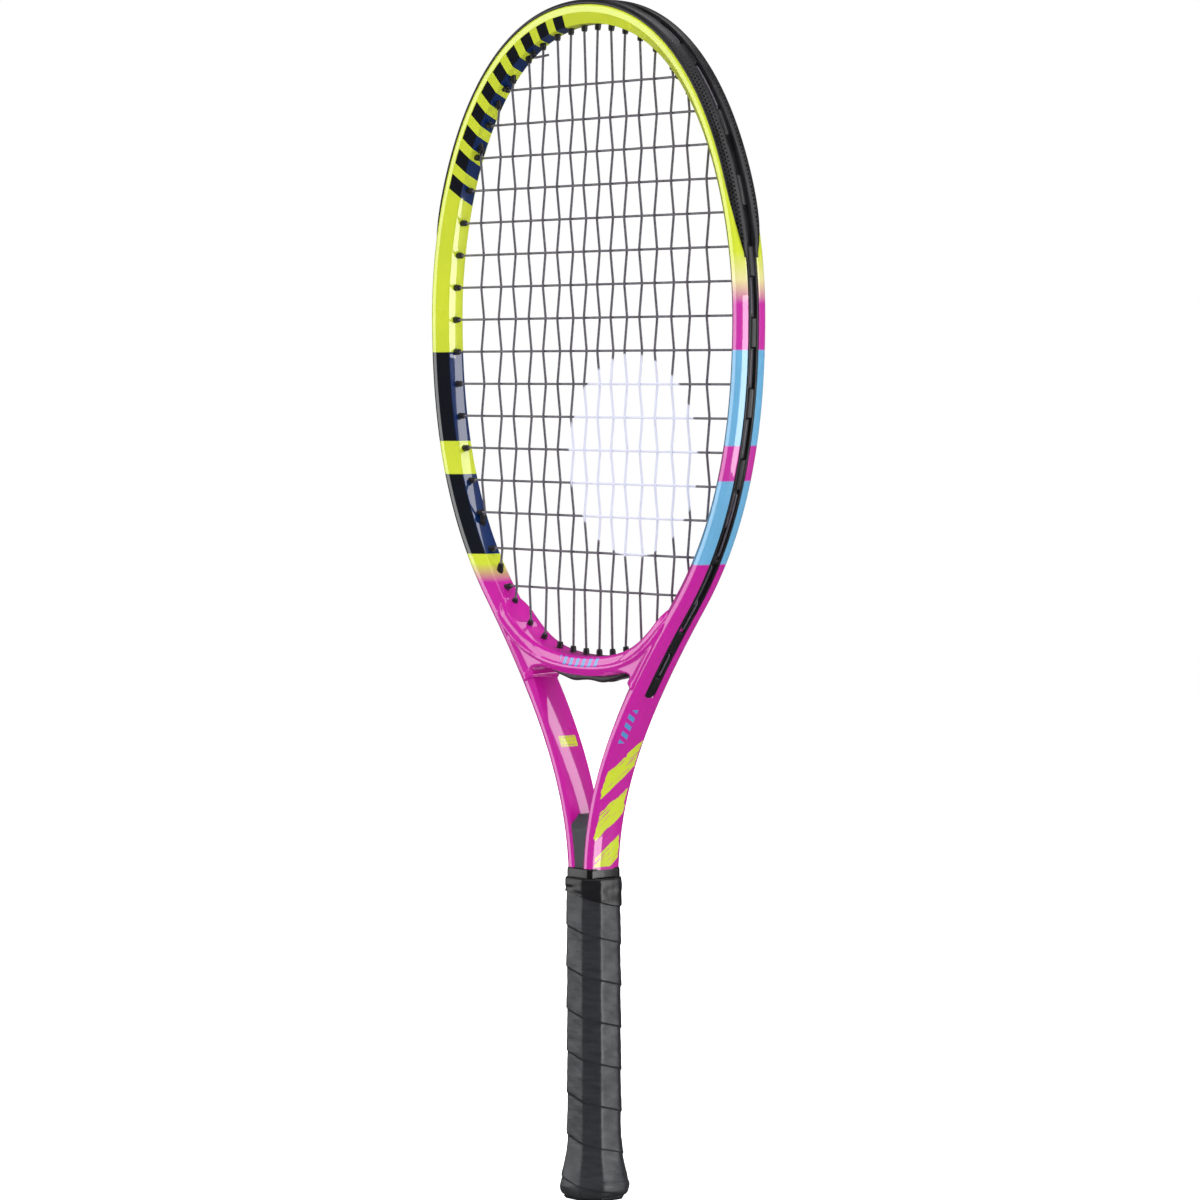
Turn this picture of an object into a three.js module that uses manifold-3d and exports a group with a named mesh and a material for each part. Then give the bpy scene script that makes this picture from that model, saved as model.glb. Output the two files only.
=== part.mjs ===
// A 25 inch junior tennis racket: a bent hairpin tube closed by a moulded throat yoke, strung through
// nylon grommet strips and a bumper guard, with a moulded handle, butt cap and wrapped grip.
// Millimetres. +Z runs up the handle to the head, X across the head, and the playing face looks along -Y.
// The origin is the centre of the butt face. The racket is symmetric left to right, so most places are
// given for the +X side and repeated for the -X side.
import * as THREE from "three";
import { mergeVertices } from "three/addons/utils/BufferGeometryUtils.js";
import Module from "manifold-3d";

const wasm = await Module();
wasm.setup();

// ---------- driving dimensions ----------
const gap = 0.3; // clearance between touching pieces
const total = 635;
const head = { top: 627.2, halfWidth: 125.3, widestZ: 468 };
const shoulder = { x: 78.5, z: 318.5, lean: THREE.MathUtils.degToRad(39) };
const shaftEnd = { x: 6.3, z: 144.5, bottom: 6 };
const tube = {
  hoop: { a: 6.2, b: 9.0 }, // half thickness in the plane of the head, and across it
  shaft: { a: 3.3, b: 10.4 },
  inHandle: { a: 3.0, b: 8.4 },
  wall: 1.2,
};
const neck = { top: 176, bottom: 160 }; // the shafts slim down here on their way into the handle
const groove = { half: 3.6, depth: 2.6, endZ: 270 };
const channel = { half: 3.3, inner: 1.85, floor: 0.8 };
const bumper = { thick: 1.3, endZ: 497, taper: 32, trimFrom: 105, trimDepth: 40 };
const yoke = { innerZ: 289, thick: 10.8, half: 9.2, tipZ: 318, legZ: 273, wrap: 1.5 };
const throatStrip = { halfLength: 34, wall: 1.7, steps: 10 };
const string = { radius: 0.65, mainWave: 0.95, crossWave: 0.55, lane: 0.95 };
const barrel = { outer: 1.75, bore: 1.1, stand: 3.3 };
const mainX = [5.6, 16.8, 28.2, 40.5, 52.9, 66.4, 79.2, 94.6];
const throatMains = 3; // this many mains on each side leave through the throat strip
const sideExitZ = { 40.5: 281, 52.9: 292, 66.4: 305.5 };
const crossPitch = 17.45;
const crossZ = crossHeights(589.8, [18.2, 17.2, ...Array(11).fill(crossPitch), 19.2, 20.05]);
const mainTieZ = 371;
const crossStartTieX = 48.6;
const crossEndTieZ = 336.5;
const handle = {
  grip: { x: 13.6, y: 13.0, chamfer: 6.5, bottom: 1.6, top: 170.5, thick: 1.6 },
  butt: { grow: 3.9, widestZ: 8, straightZ: 34, capTop: 27, foot: 0.7, rim: 1.7, floor: 3 },
  pallet: { x: 11.7, y: 11.1, chamfer: 5.4, bottom: 5, top: 168, slim: -0.9 },
  storage: { x: 7.4, y: 6, chamfer: 2.6, top: 14 },
  tape: { bottom: 157, top: 171.5, thick: 0.5 },
  collar: { x: 11.5, y: 11.5, chamfer: 2.0, bottom: 171.8, top: 176.6, thick: 0.6 },
  wedge: { top: 204.4, halfDepth: 9.4, halfDepthInCollar: 9 },
};
const door = { x: 8.6, y: 7.2, chamfer: 3, recess: 0.6, plate: 1.4, ledge: -1.2 };
const hook = { inner: 5.4, outer: 6.6, half: 2.5, top: 8 };

function crossHeights(first, gaps) {
  return gaps.reduce((list, step) => [...list, list.at(-1) - step], [first]);
}

// ---------- solids and booleans ----------
function solidOf(geometry) {
  const bare = new THREE.BufferGeometry().setAttribute("position", geometry.getAttribute("position"));
  bare.setIndex(geometry.index);
  const merged = mergeVertices(bare, 1e-4);
  return new wasm.Manifold(
    new wasm.Mesh({
      numProp: 3,
      vertProperties: new Float32Array(merged.attributes.position.array),
      triVerts: new Uint32Array(merged.index.array),
    }),
  );
}

function geometryOf(solid) {
  const mesh = solid.getMesh();
  const geometry = new THREE.BufferGeometry();
  geometry.setAttribute("position", new THREE.BufferAttribute(new Float32Array(mesh.vertProperties), 3));
  geometry.setIndex(new THREE.BufferAttribute(new Uint32Array(mesh.triVerts), 1));
  geometry.computeVertexNormals();
  return geometry;
}

const joined = (solids) => solids.reduce((sum, next) => sum.add(next));
const cut = (solid, tools) => tools.reduce((rest, tool) => rest.subtract(tool), solid);

// Joins equal-length rings of points into a closed skin. The flat outline of the first and last ring
// gives the triangles of the two ends.
function loft(givenRings, firstOutline, lastOutline = firstOutline) {
  const flat = (outline) => outline.map(([p, q]) => new THREE.Vector2(p, q));
  const turned = THREE.ShapeUtils.isClockWise(flat(firstOutline));
  const ordered = (list) => (turned ? [...list].reverse() : list);
  const rings = givenRings.map(ordered);
  const ends = [firstOutline, lastOutline].map((outline) => flat(ordered(outline)));
  const count = rings[0].length;
  const indices = [];
  for (let i = 0; i + 1 < rings.length; i++) {
    for (let j = 0; j < count; j++) {
      const a = i * count + j;
      const b = i * count + ((j + 1) % count);
      indices.push(a, b, b + count, a, b + count, a + count);
    }
  }
  for (const [a, b, c] of THREE.ShapeUtils.triangulateShape(ends[0], [])) indices.push(c, b, a);
  const last = (rings.length - 1) * count;
  for (const [a, b, c] of THREE.ShapeUtils.triangulateShape(ends[1], [])) {
    indices.push(last + a, last + b, last + c);
  }
  const geometry = new THREE.BufferGeometry().setFromPoints(rings.flat());
  geometry.setIndex(indices);
  const solid = solidOf(geometry);
  if (solid.volume() > 0) return solid;
  for (let i = 0; i < indices.length; i += 3) {
    [indices[i + 1], indices[i + 2]] = [indices[i + 2], indices[i + 1]];
  }
  geometry.setIndex(indices);
  return solidOf(geometry);
}

// A square or many-sided bar from one point to another.
function bar(from, to, radius, sides = 4) {
  const length = from.distanceTo(to);
  const geometry = new THREE.CylinderGeometry(radius, radius, length, sides);
  geometry.rotateX(Math.PI / 2);
  const turn = new THREE.Matrix4().lookAt(to, from, new THREE.Vector3(0, 1, 0.01));
  turn.setPosition(from.clone().lerp(to, 0.5));
  return solidOf(geometry.applyMatrix4(turn));
}

function box(low, high) {
  const size = high.clone().sub(low);
  const geometry = new THREE.BoxGeometry(size.x, size.y, size.z);
  const middle = low.clone().add(high).multiplyScalar(0.5);
  return solidOf(geometry.translate(middle.x, middle.y, middle.z));
}

// ---------- the centreline of the hairpin tube ----------
const at = (x, z) => new THREE.Vector3(x, 0, z);
const down = at(-Math.sin(shoulder.lean), -Math.cos(shoulder.lean));
const shoulderPoint = at(shoulder.x, shoulder.z);
const centreline = new THREE.CurvePath();
centreline.add(
  new THREE.CubicBezierCurve3(
    at(0, head.top),
    at(0.73 * head.halfWidth, head.top),
    at(head.halfWidth, head.widestZ + 64.5),
    at(head.halfWidth, head.widestZ),
  ),
);
centreline.add(
  new THREE.CubicBezierCurve3(
    at(head.halfWidth, head.widestZ),
    at(head.halfWidth, head.widestZ - 54),
    shoulderPoint.clone().addScaledVector(down, -59),
    shoulderPoint,
  ),
);
centreline.add(
  new THREE.CubicBezierCurve3(
    shoulderPoint,
    shoulderPoint.clone().addScaledVector(down, 119),
    at(shaftEnd.x, shaftEnd.z + 46),
    at(shaftEnd.x, shaftEnd.z),
  ),
);
centreline.add(new THREE.LineCurve3(at(shaftEnd.x, shaftEnd.z), at(shaftEnd.x, shaftEnd.bottom)));
const sideLengths = centreline.getCurveLengths();
const widest = sideLengths[0];
const shoulderAt = sideLengths[1];
const sideLength = sideLengths.at(-1);

// The place at a distance along the tube from the top of the head: positive on the +X side.
function station(s) {
  const side = s < 0 ? -1 : 1;
  const t = Math.min(Math.abs(s) / sideLength, 1);
  const point = centreline.getPoint(t);
  const tangent = centreline.getTangent(t);
  return {
    s,
    point: new THREE.Vector3(side * point.x, 0, point.z),
    out: new THREE.Vector3(side * -tangent.z, 0, tangent.x),
    z: point.z,
  };
}

const place = (st, p, q) => st.point.clone().addScaledVector(st.out, p).add(new THREE.Vector3(0, q, 0));

// The half thicknesses of the tube at a height: hoop, then shaft, then the slimmer part in the handle.
function tubeSize(z) {
  const toShaft = 1 - THREE.MathUtils.smoothstep(z, 228, 348);
  const toHandle = 1 - THREE.MathUtils.smoothstep(z, neck.bottom, neck.top);
  const mix = (key) =>
    THREE.MathUtils.lerp(
      THREE.MathUtils.lerp(tube.hoop[key], tube.shaft[key], toShaft),
      tube.inHandle[key],
      toHandle,
    );
  return { a: mix("a"), b: mix("b") };
}

// Finds by halving where a rising or falling measure of the tube's station takes a value.
function solve(measure, low, high, value) {
  const rising = measure(high) > measure(low);
  for (let i = 0; i < 50; i++) {
    const middle = (low + high) / 2;
    if (measure(middle) < value === rising) low = middle;
    else high = middle;
  }
  return (low + high) / 2;
}

const stationAtZ = (z, p = () => 0) =>
  solve((s) => place(station(s), p(tubeSize(station(s).z)), 0).z, 0, sideLength, z);

// ---------- sections of the tube, each a list of [outwards, across] points ----------
const mirrored = (half) => [...half, ...half.map(([p, q]) => [p, -q]).reverse()];

function tubeOutline({ a, b }, depth) {
  return mirrored([
    [a - depth, groove.half],
    [a, groove.half + 0.05],
    [0.84 * a, 0.78 * b],
    [0.42 * a, 0.97 * b],
    [-0.42 * a, 0.97 * b],
    [-0.84 * a, 0.78 * b],
    [-a, 0.4 * b],
  ]);
}

function hollowOutline({ a, b }, depth) {
  const outer = a - Math.max(depth + 0.9, tube.wall);
  const inner = -(a - tube.wall);
  const half = b - tube.wall;
  return mirrored([
    [outer, 0.62 * half],
    [(outer + inner) / 2, half],
    [inner, 0.6 * half],
  ]);
}

function swept(stations, outline) {
  const outlines = stations.map((st) => outline(st));
  const rings = stations.map((st, i) => outlines[i].map(([p, q]) => place(st, p, q)));
  return loft(rings, outlines[0], outlines.at(-1));
}

function spread(from, to, step) {
  const count = Math.max(1, Math.round(Math.abs(to - from) / step));
  return Array.from({ length: count + 1 }, (_, i) => station(from + ((to - from) * i) / count));
}

// ---------- string lines and their grommets ----------
// mouth is where a string leaves its barrel inside the head, outer is where it turns along the channel.
const channelLevel = ({ a }) => a - 0.7;
const mouthLevel = ({ a }) => -(a + barrel.stand);

function grommet(axis, value, from, to, lane) {
  const coordinate = (s, level) => place(station(s), level(tubeSize(station(s).z)), 0)[axis];
  const mouthAt = solve((s) => coordinate(s, mouthLevel), from, to, value);
  const straightAt = solve((s) => coordinate(s, channelLevel), from, to, value);
  const outerAt = (mouthAt + straightAt) / 2;
  const outer = station(outerAt);
  return {
    mouth: place(station(mouthAt), mouthLevel(tubeSize(station(mouthAt).z)), 0),
    outer: place(outer, channelLevel(tubeSize(outer.z)), lane),
    s: outerAt,
    lane,
  };
}

const mirrorPoint = (point) => point.clone().setX(-point.x);
const mirrorGrommet = (g) => ({
  ...g,
  mouth: mirrorPoint(g.mouth),
  outer: mirrorPoint(g.outer),
  s: -g.s,
  throat: g.throat === undefined ? undefined : -g.throat,
});

// The inner line of the throat yoke, from the +X shoulder to the -X shoulder through its lowest point.
const yokeEnd = at(77.3, 326.7);
const yokeSide = new THREE.CubicBezierCurve3(
  at(0, yoke.innerZ),
  at(40, yoke.innerZ),
  yokeEnd.clone().addScaledVector(down, 35),
  yokeEnd,
);

function yokeStation(t) {
  const side = t < 0 ? -1 : 1;
  const point = yokeSide.getPoint(Math.abs(t));
  const tangent = yokeSide.getTangent(Math.abs(t));
  return {
    point: new THREE.Vector3(side * point.x, 0, point.z),
    out: new THREE.Vector3(side * tangent.z, 0, -tangent.x),
  };
}

const yokeAtX = (x) => solve((t) => yokeStation(t).point.x, 0, 1, x);
const stringRoom = 0.15; // between a string and the floor under it
const throatLevel = yoke.thick + gap + channel.floor + stringRoom + string.radius;

function throatGrommet(x) {
  const st = yokeStation(yokeAtX(x));
  return {
    mouth: place(st, -barrel.stand, 0),
    outer: place(st, throatLevel, 0),
    throat: yokeAtX(x),
    lane: 0,
  };
}

function sideGrommetThroughYoke(x) {
  const exit = station(stationAtZ(sideExitZ[x], channelLevel));
  return {
    mouth: place(yokeStation(yokeAtX(x)), -barrel.stand, 0).setX(x),
    outer: place(exit, channelLevel(tubeSize(exit.z)), string.lane),
    s: exit.s,
    lane: string.lane,
  };
}

const mainTops = mainX.map((x) => grommet("x", x, 0, widest, string.lane));
const mainBottoms = mainX.map((x, i) => {
  if (i < throatMains) return throatGrommet(x);
  if (x in sideExitZ) return sideGrommetThroughYoke(x);
  return grommet("x", x, widest, shoulderAt + 10, string.lane);
});
const crossEnds = crossZ.map((z) => grommet("z", z, 0, shoulderAt + 20, -string.lane));
const mainTie = grommet("z", mainTieZ, 0, shoulderAt, string.lane);
const crossStartTie = mirrorGrommet(grommet("x", crossStartTieX, 0, widest, -string.lane));
const crossEndTie = mirrorGrommet(grommet("z", crossEndTieZ, 0, shoulderAt + 20, -string.lane));

const sideGrommets = [...mainTops, ...mainBottoms.slice(throatMains), ...crossEnds, mainTie];
const hoopGrommets = [
  ...sideGrommets,
  ...sideGrommets.map(mirrorGrommet),
  crossStartTie,
  crossEndTie,
];
const throatGrommets = mainBottoms.slice(0, throatMains).flatMap((g) => [g, mirrorGrommet(g)]);

const beyond = (from, to, extra) => to.clone().add(to.clone().sub(from).normalize().multiplyScalar(extra));
const holeTool = (g, radius) => bar(beyond(g.outer, g.mouth, 1), beyond(g.mouth, g.outer, 0.6), radius);
const frameHoles = hoopGrommets.map((g) => holeTool(g, barrel.outer + gap));

function withBarrels(solid, grommets) {
  const barrels = grommets.map((g) => bar(g.mouth, g.mouth.clone().lerp(g.outer, 0.92), barrel.outer, 4));
  return cut(joined([solid, ...barrels]), grommets.map((g) => holeTool(g, barrel.bore)));
}

// ---------- frame tube ----------
const grooveEnd = stationAtZ(groove.endZ);

function grooveDepth(st) {
  return Math.abs(st.s) < grooveEnd + 0.01 ? groove.depth : 0;
}

const neckTop = stationAtZ(neck.top);
const neckBottom = stationAtZ(neck.bottom);
const sideLine = [
  ...spread(0, grooveEnd, 16),
  ...spread(grooveEnd + 0.04, neckTop, 17),
  ...spread(neckTop, neckBottom, 3.5).slice(1),
  station(sideLengths[2]),
  station(sideLength),
];
const tubeLine = [...sideLine.slice(1).reverse().map((st) => station(-st.s)), ...sideLine];

// The stations of the tube between two places on it, so neighbouring pieces share its facets.
function along(from, to) {
  const [low, high] = [Math.min(from, to), Math.max(from, to)];
  const inside = tubeLine.filter((st) => st.s > low + 1 && st.s < high - 1);
  return [station(low), ...inside, station(high)];
}

function frameTube() {
  const stations = tubeLine;
  const skin = swept(stations, (st) => tubeOutline(tubeSize(st.z), grooveDepth(st)));
  const beyondEnd = (st) => ({ ...st, point: st.point.clone().setZ(st.point.z - 2) });
  const inner = [beyondEnd(stations[0]), ...stations.slice(1, -1), beyondEnd(stations.at(-1))];
  const hollow = swept(inner, (st) => hollowOutline(tubeSize(st.z), grooveDepth(st)));
  return cut(skin.subtract(hollow), frameHoles);
}

// A solid copy of the tube, a little larger, that makes room for the tube in its neighbours.
function tubeRoom(fromZ, toZ, side) {
  const stations = along(side * stationAtZ(fromZ), side * stationAtZ(toZ));
  return swept(stations, (st) => {
    const { a, b } = tubeSize(st.z);
    return tubeOutline({ a: a + gap, b: b + gap }, 0);
  });
}

// ---------- throat yoke ----------
function yokeOutline() {
  const t = yoke.thick;
  const h = yoke.half;
  return mirrored([
    [t, 0.55 * h],
    [0.86 * t, 0.88 * h],
    [0.6 * t, h],
    [0.25 * t, h],
    [0.06 * t, 0.86 * h],
    [0, 0.6 * h],
  ]);
}

function throatYoke() {
  const count = 22;
  const stations = Array.from({ length: count + 1 }, (_, i) => yokeStation(1 - (2 * i) / count));
  const outline = yokeOutline();
  const arch = loft(stations.map((st) => outline.map(([p, q]) => place(st, p, q))), outline);
  const saddle = (side) =>
    swept(spread(side * stationAtZ(yoke.tipZ), side * stationAtZ(yoke.legZ), 7), (st) => {
      const { a, b } = tubeSize(st.z);
      const [da, db] = [a + gap + yoke.wrap, b + gap + yoke.wrap];
      return mirrored([
        [0.5, 0.97 * db],
        [-0.42 * da, 0.97 * db],
        [-0.84 * da, 0.78 * db],
        [-da, 0.4 * db],
      ]);
    });
  const body = joined([arch, saddle(1), saddle(-1)]);
  const room = [tubeRoom(350, 250, 1), tubeRoom(350, 250, -1)];
  const holes = hoopGrommets
    .filter((g) => g.mouth.z < 330 || g === crossEndTie)
    .map((g) => holeTool(g, barrel.outer + gap));
  const throatHoles = throatGrommets.map((g) => holeTool(g, barrel.outer + gap));
  return largest(cut(body, [...room, ...holes, ...throatHoles]));
}

const largest = (solid) => solid.decompose().reduce((a, b) => (b.volume() > a.volume() ? b : a));

// ---------- grommet strips and bumper guard ----------
function channelOutline(top, floorLow) {
  return mirrored([
    [floorLow, channel.half],
    [top, channel.half],
    [top, channel.inner],
    [floorLow + channel.floor, channel.inner],
  ]);
}

const bumperEnd = stationAtZ(bumper.endZ);

function sideStrip(side) {
  const stations = along(side * (bumperEnd + gap), side * (grooveEnd - gap));
  const body = swept(stations, (st) => {
    const { a } = tubeSize(st.z);
    return channelOutline(a - 0.1, a - groove.depth + gap);
  });
  const mine = hoopGrommets.filter((g) => g.s * side > bumperEnd);
  return withBarrels(body, mine);
}

function bumperOutline({ a, b }) {
  const low = a - groove.depth + gap;
  const [ia, ib] = [a + gap, b + gap];
  const [oa, ob] = [a + gap + bumper.thick, b + gap + bumper.thick];
  return mirrored([
    [low, channel.half],
    [ia, channel.half],
    [0.84 * ia, 0.78 * ib],
    [0.5 * ia, 0.94 * ib],
    [0.5 * oa, 0.94 * ob],
    [0.84 * oa, 0.78 * ob],
    [oa, 0.45 * ob],
    [oa - 0.3, channel.inner],
    [low + channel.floor, channel.inner],
  ]);
}

// Wedges that trim the guard's flanges to a point at each end of the guard.
function bumperTrims() {
  const edge = channel.half + 0.5;
  const wide = tube.hoop.b + 6;
  const low = bumper.endZ - 12;
  const shape = new THREE.Shape([
    new THREE.Vector2(edge, low),
    new THREE.Vector2(wide, low),
    new THREE.Vector2(wide, bumper.endZ + bumper.taper),
    new THREE.Vector2(0.75 * tube.hoop.b, bumper.endZ + 0.45 * bumper.taper),
    new THREE.Vector2(edge, bumper.endZ + 2),
  ]);
  const prism = new THREE.ExtrudeGeometry(shape, { depth: bumper.trimDepth, bevelEnabled: false });
  prism.rotateX(Math.PI / 2).rotateZ(Math.PI / 2).translate(bumper.trimFrom, 0, 0);
  const trim = solidOf(prism);
  const oneSide = [trim, trim.mirror([0, 1, 0])];
  return [...oneSide, ...oneSide.map((solid) => solid.mirror([1, 0, 0]))];
}

function bumperGuard() {
  const body = swept(along(-bumperEnd, bumperEnd), (st) => bumperOutline(tubeSize(st.z)));
  const mine = hoopGrommets.filter((g) => Math.abs(g.s) < bumperEnd);
  return largest(withBarrels(cut(body, bumperTrims()), mine));
}

function throatGrommetStrip() {
  const low = yoke.thick + gap;
  const end = yokeAtX(throatStrip.halfLength);
  const { steps } = throatStrip;
  const stations = Array.from({ length: steps + 1 }, (_, i) => yokeStation(end * (1 - (2 * i) / steps)));
  const outline = channelOutline(low + channel.floor + throatStrip.wall, low);
  const body = loft(stations.map((st) => outline.map(([p, q]) => place(st, p, q))), outline);
  return withBarrels(body, throatGrommets);
}

// ---------- strings ----------
// A thin four-sided rod along a list of points.
function rod(points) {
  const square = [[1, 0], [0, 1], [-1, 0], [0, -1]];
  const directions = points.map((_, i) => {
    const before = points[Math.max(i - 1, 0)];
    const after = points[Math.min(i + 1, points.length - 1)];
    return after.clone().sub(before).normalize();
  });
  let side = new THREE.Vector3(0, 1, 0);
  const rings = points.map((p, i) => {
    side = side.clone().addScaledVector(directions[i], -side.dot(directions[i])).normalize();
    const other = new THREE.Vector3().crossVectors(directions[i], side);
    return square.map(([u, v]) =>
      p.clone().addScaledVector(side, u * string.radius).addScaledVector(other, v * string.radius),
    );
  });
  return loft(rings, square);
}

// The way along the channel from one grommet to the next.
function channelRun(from, to) {
  if (from.throat !== undefined) {
    return [place(yokeStation((from.throat + to.throat) / 2), throatLevel, 0)];
  }
  return spread(from.s, to.s, 7)
    .slice(1, -1)
    .map((st) => place(st, channelLevel(tubeSize(st.z)), from.lane));
}

const bothSides = (list) => [...list.map(mirrorGrommet).reverse(), ...list];
const allMainX = [...mainX.map((x) => -x).reverse(), ...mainX];
const allTops = bothSides(mainTops);
const allBottoms = bothSides(mainBottoms);
const over = (i, k) => ((i + k) % 2 ? 1 : -1);

function mainString() {
  const leftTie = mirrorGrommet(mainTie);
  const path = [leftTie.mouth, leftTie.outer, ...channelRun(leftTie, allBottoms[0])];
  allMainX.forEach((x, i) => {
    const upwards = i % 2 === 0;
    const [first, last] = upwards ? [allBottoms[i], allTops[i]] : [allTops[i], allBottoms[i]];
    const weave = crossZ
      .map((z, k) => new THREE.Vector3(x, over(i, k) * string.mainWave, z))
      .filter((p) => p.z < allTops[i].mouth.z - 1 && p.z > allBottoms[i].mouth.z + 1);
    if (upwards) weave.reverse();
    path.push(first.outer, first.mouth, ...weave, last.mouth, last.outer);
    const next = i + 1 < allMainX.length ? (upwards ? allTops : allBottoms)[i + 1] : mainTie;
    path.push(...channelRun(last, next));
  });
  path.push(mainTie.outer, mainTie.mouth);
  return rod(path);
}

function crossString() {
  const left = crossEnds.map(mirrorGrommet);
  const path = [crossStartTie.mouth, crossStartTie.outer, ...channelRun(crossStartTie, left[0])];
  crossZ.forEach((z, k) => {
    const rightwards = k % 2 === 0;
    const [first, last] = rightwards ? [left[k], crossEnds[k]] : [crossEnds[k], left[k]];
    const weave = allMainX
      .map((x, i) => new THREE.Vector3(x, -over(i, k) * string.crossWave, z))
      .filter((p) => Math.abs(p.x) < crossEnds[k].mouth.x - 0.2);
    if (!rightwards) weave.reverse();
    path.push(first.outer, first.mouth, ...weave, last.mouth, last.outer);
    const next = k + 1 < crossZ.length ? (rightwards ? crossEnds : left)[k + 1] : crossEndTie;
    path.push(...channelRun(last, next));
  });
  path.push(crossEndTie.outer, crossEndTie.mouth);
  return rod(path);
}

// ---------- handle ----------
function octagon({ x, y, chamfer: c }, grow = 0) {
  const [hx, hy] = [x + grow, y + grow];
  const k = c + grow * (2 - Math.SQRT2);
  return [
    [hx, -(hy - k)],
    [hx, hy - k],
    [hx - k, hy],
    [-(hx - k), hy],
    [-hx, hy - k],
    [-hx, -(hy - k)],
    [-(hx - k), -hy],
    [hx - k, -hy],
  ];
}

// A stack of octagons, each given as [height, size, growth].
function octagonal(levels) {
  const outlines = levels.map(([, size, grow]) => octagon(size, grow));
  const rings = levels.map(([z], i) => outlines[i].map(([x, y]) => new THREE.Vector3(x, y, z)));
  return loft(rings, outlines[0], outlines.at(-1));
}

const { grip, butt, pallet, storage, tape, collar, wedge } = handle;

// The grip's outer growth at a height: the flare over the butt cap.
function flare(z) {
  if (z >= butt.straightZ) return 0;
  if (z <= butt.widestZ) return butt.grow - 0.9 * (1 - z / butt.widestZ) ** 2;
  const t = (butt.straightZ - z) / (butt.straightZ - butt.widestZ);
  return butt.grow * t * t * (1.6 - 0.6 * t);
}

const flareHeights = [butt.widestZ, 13, 18, 23, butt.capTop, butt.straightZ];

function shaftRoom(topZ) {
  return [1, -1].map((side) => {
    const stations = along(side * stationAtZ(topZ), side * sideLength).map((st) =>
      st.z > shaftEnd.bottom + 1 ? st : { ...st, point: st.point.clone().setZ(shaftEnd.bottom - 2) },
    );
    return swept(stations, (st) => {
      const { a, b } = tubeSize(st.z);
      return tubeOutline({ a: a + gap, b: b + gap }, 0);
    });
  });
}

const flat = 0.01; // a step in a stack of octagons, as good as flat

// The pallet is slimmer inside the butt cap, and has a pocket behind the cap's door.
function handlePallet() {
  const body = octagonal([
    [pallet.bottom, pallet, pallet.slim],
    [butt.capTop + gap, pallet, pallet.slim],
    [butt.capTop + gap + flat, pallet, 0],
    [pallet.top, pallet, 0],
  ]);
  const pocket = octagonal([[pallet.bottom - 1, storage, 0], [storage.top, storage, 0]]);
  return cut(body, [...shaftRoom(pallet.top + 3), pocket, ...stapleTools()]);
}

function buttCap() {
  const outer = octagonal([
    [0, grip, butt.foot],
    [grip.bottom - gap, grip, butt.rim],
    [grip.bottom - gap + flat, grip, flare(grip.bottom) - grip.thick - gap],
    ...flareHeights.slice(0, 5).map((z) => [z, grip, flare(z) - grip.thick - gap]),
  ]);
  const around = pallet.slim + gap;
  const inside = octagonal([[butt.floor, pallet, around], [butt.capTop + 1, pallet, around]]);
  const opening = octagonal([[-1, door, gap], [door.recess + door.plate, door, gap]]);
  const throughFloor = octagonal([[0, door, door.ledge], [butt.floor + 1, door, door.ledge]]);
  return cut(outer, [inside, opening, throughFloor, ...stapleTools()]);
}

function buttCapDoor() {
  const top = door.recess + door.plate - gap;
  const plate = octagonal([[door.recess, door, 0], [top, door, 0]]);
  const hooks = [1, -1].map((side) =>
    box(
      new THREE.Vector3(Math.min(side * hook.inner, side * hook.outer), -hook.half, top - 0.5),
      new THREE.Vector3(Math.max(side * hook.inner, side * hook.outer), hook.half, hook.top),
    ),
  );
  return joined([plate, ...hooks]);
}

// Four staples hold the butt cap to the pallet, and one on a bevel holds the start of the grip to the cap.
// Each is a crown with two legs; z is its height, and depth its face's distance from the handle's axis.
const staple = { crown: 8, wire: 0.5, leg: 3.2 };
const bevelDepth = (grip.x + grip.y - grip.chamfer) / Math.SQRT2;
const staples = [
  { name: "butt_cap_staple_front", turn: 0, depth: grip.y, z: 20 },
  { name: "butt_cap_staple_right", turn: Math.PI / 2, depth: grip.x, z: 20 },
  { name: "butt_cap_staple_rear", turn: Math.PI, depth: grip.y, z: 20 },
  { name: "butt_cap_staple_left", turn: -Math.PI / 2, depth: grip.x, z: 20 },
  { name: "grip_staple", turn: -Math.PI / 4, depth: bevelDepth, z: 12 },
];

// room is added all round; the crown lies just under the cap's skin, below the grip.
function stapleSolid({ turn, depth, z }, room) {
  const face = -(depth + flare(z) - grip.thick - gap);
  const w = staple.wire + room;
  const crown = box(
    new THREE.Vector3(-staple.crown / 2 - w, face - 3 * room, z - w),
    new THREE.Vector3(staple.crown / 2 + w, face + 2 * staple.wire + room, z + w),
  );
  const legs = [1, -1].map((side) =>
    box(
      new THREE.Vector3(side * (staple.crown / 2) - w, face + 0.2, z - w),
      new THREE.Vector3(side * (staple.crown / 2) + w, face + 0.2 + staple.leg + room, z + w),
    ),
  );
  const solid = joined([crown, ...legs]);
  return solid.rotate([0, 0, THREE.MathUtils.radToDeg(turn)]);
}

function stapleTools() {
  return staples.map((each) => stapleSolid(each, gap));
}

function baseGrip() {
  const heights = [grip.bottom, 4.5, ...flareHeights, tape.bottom - gap];
  const slim = -(tape.thick + gap);
  const outer = octagonal([
    ...heights.map((z) => [z, grip, flare(z)]),
    [tape.bottom - gap + flat, grip, slim],
    [grip.top, grip, slim],
  ]);
  const inner = octagonal([
    [grip.bottom - 1, grip, flare(grip.bottom) - grip.thick],
    ...flareHeights.slice(0, 5).map((z) => [z, grip, flare(z) - grip.thick]),
    [butt.capTop + gap, grip, flare(butt.capTop) - grip.thick],
    [butt.straightZ, grip, -grip.thick],
    [grip.top + 1, grip, -grip.thick],
  ]);
  return outer.subtract(inner);
}

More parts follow.
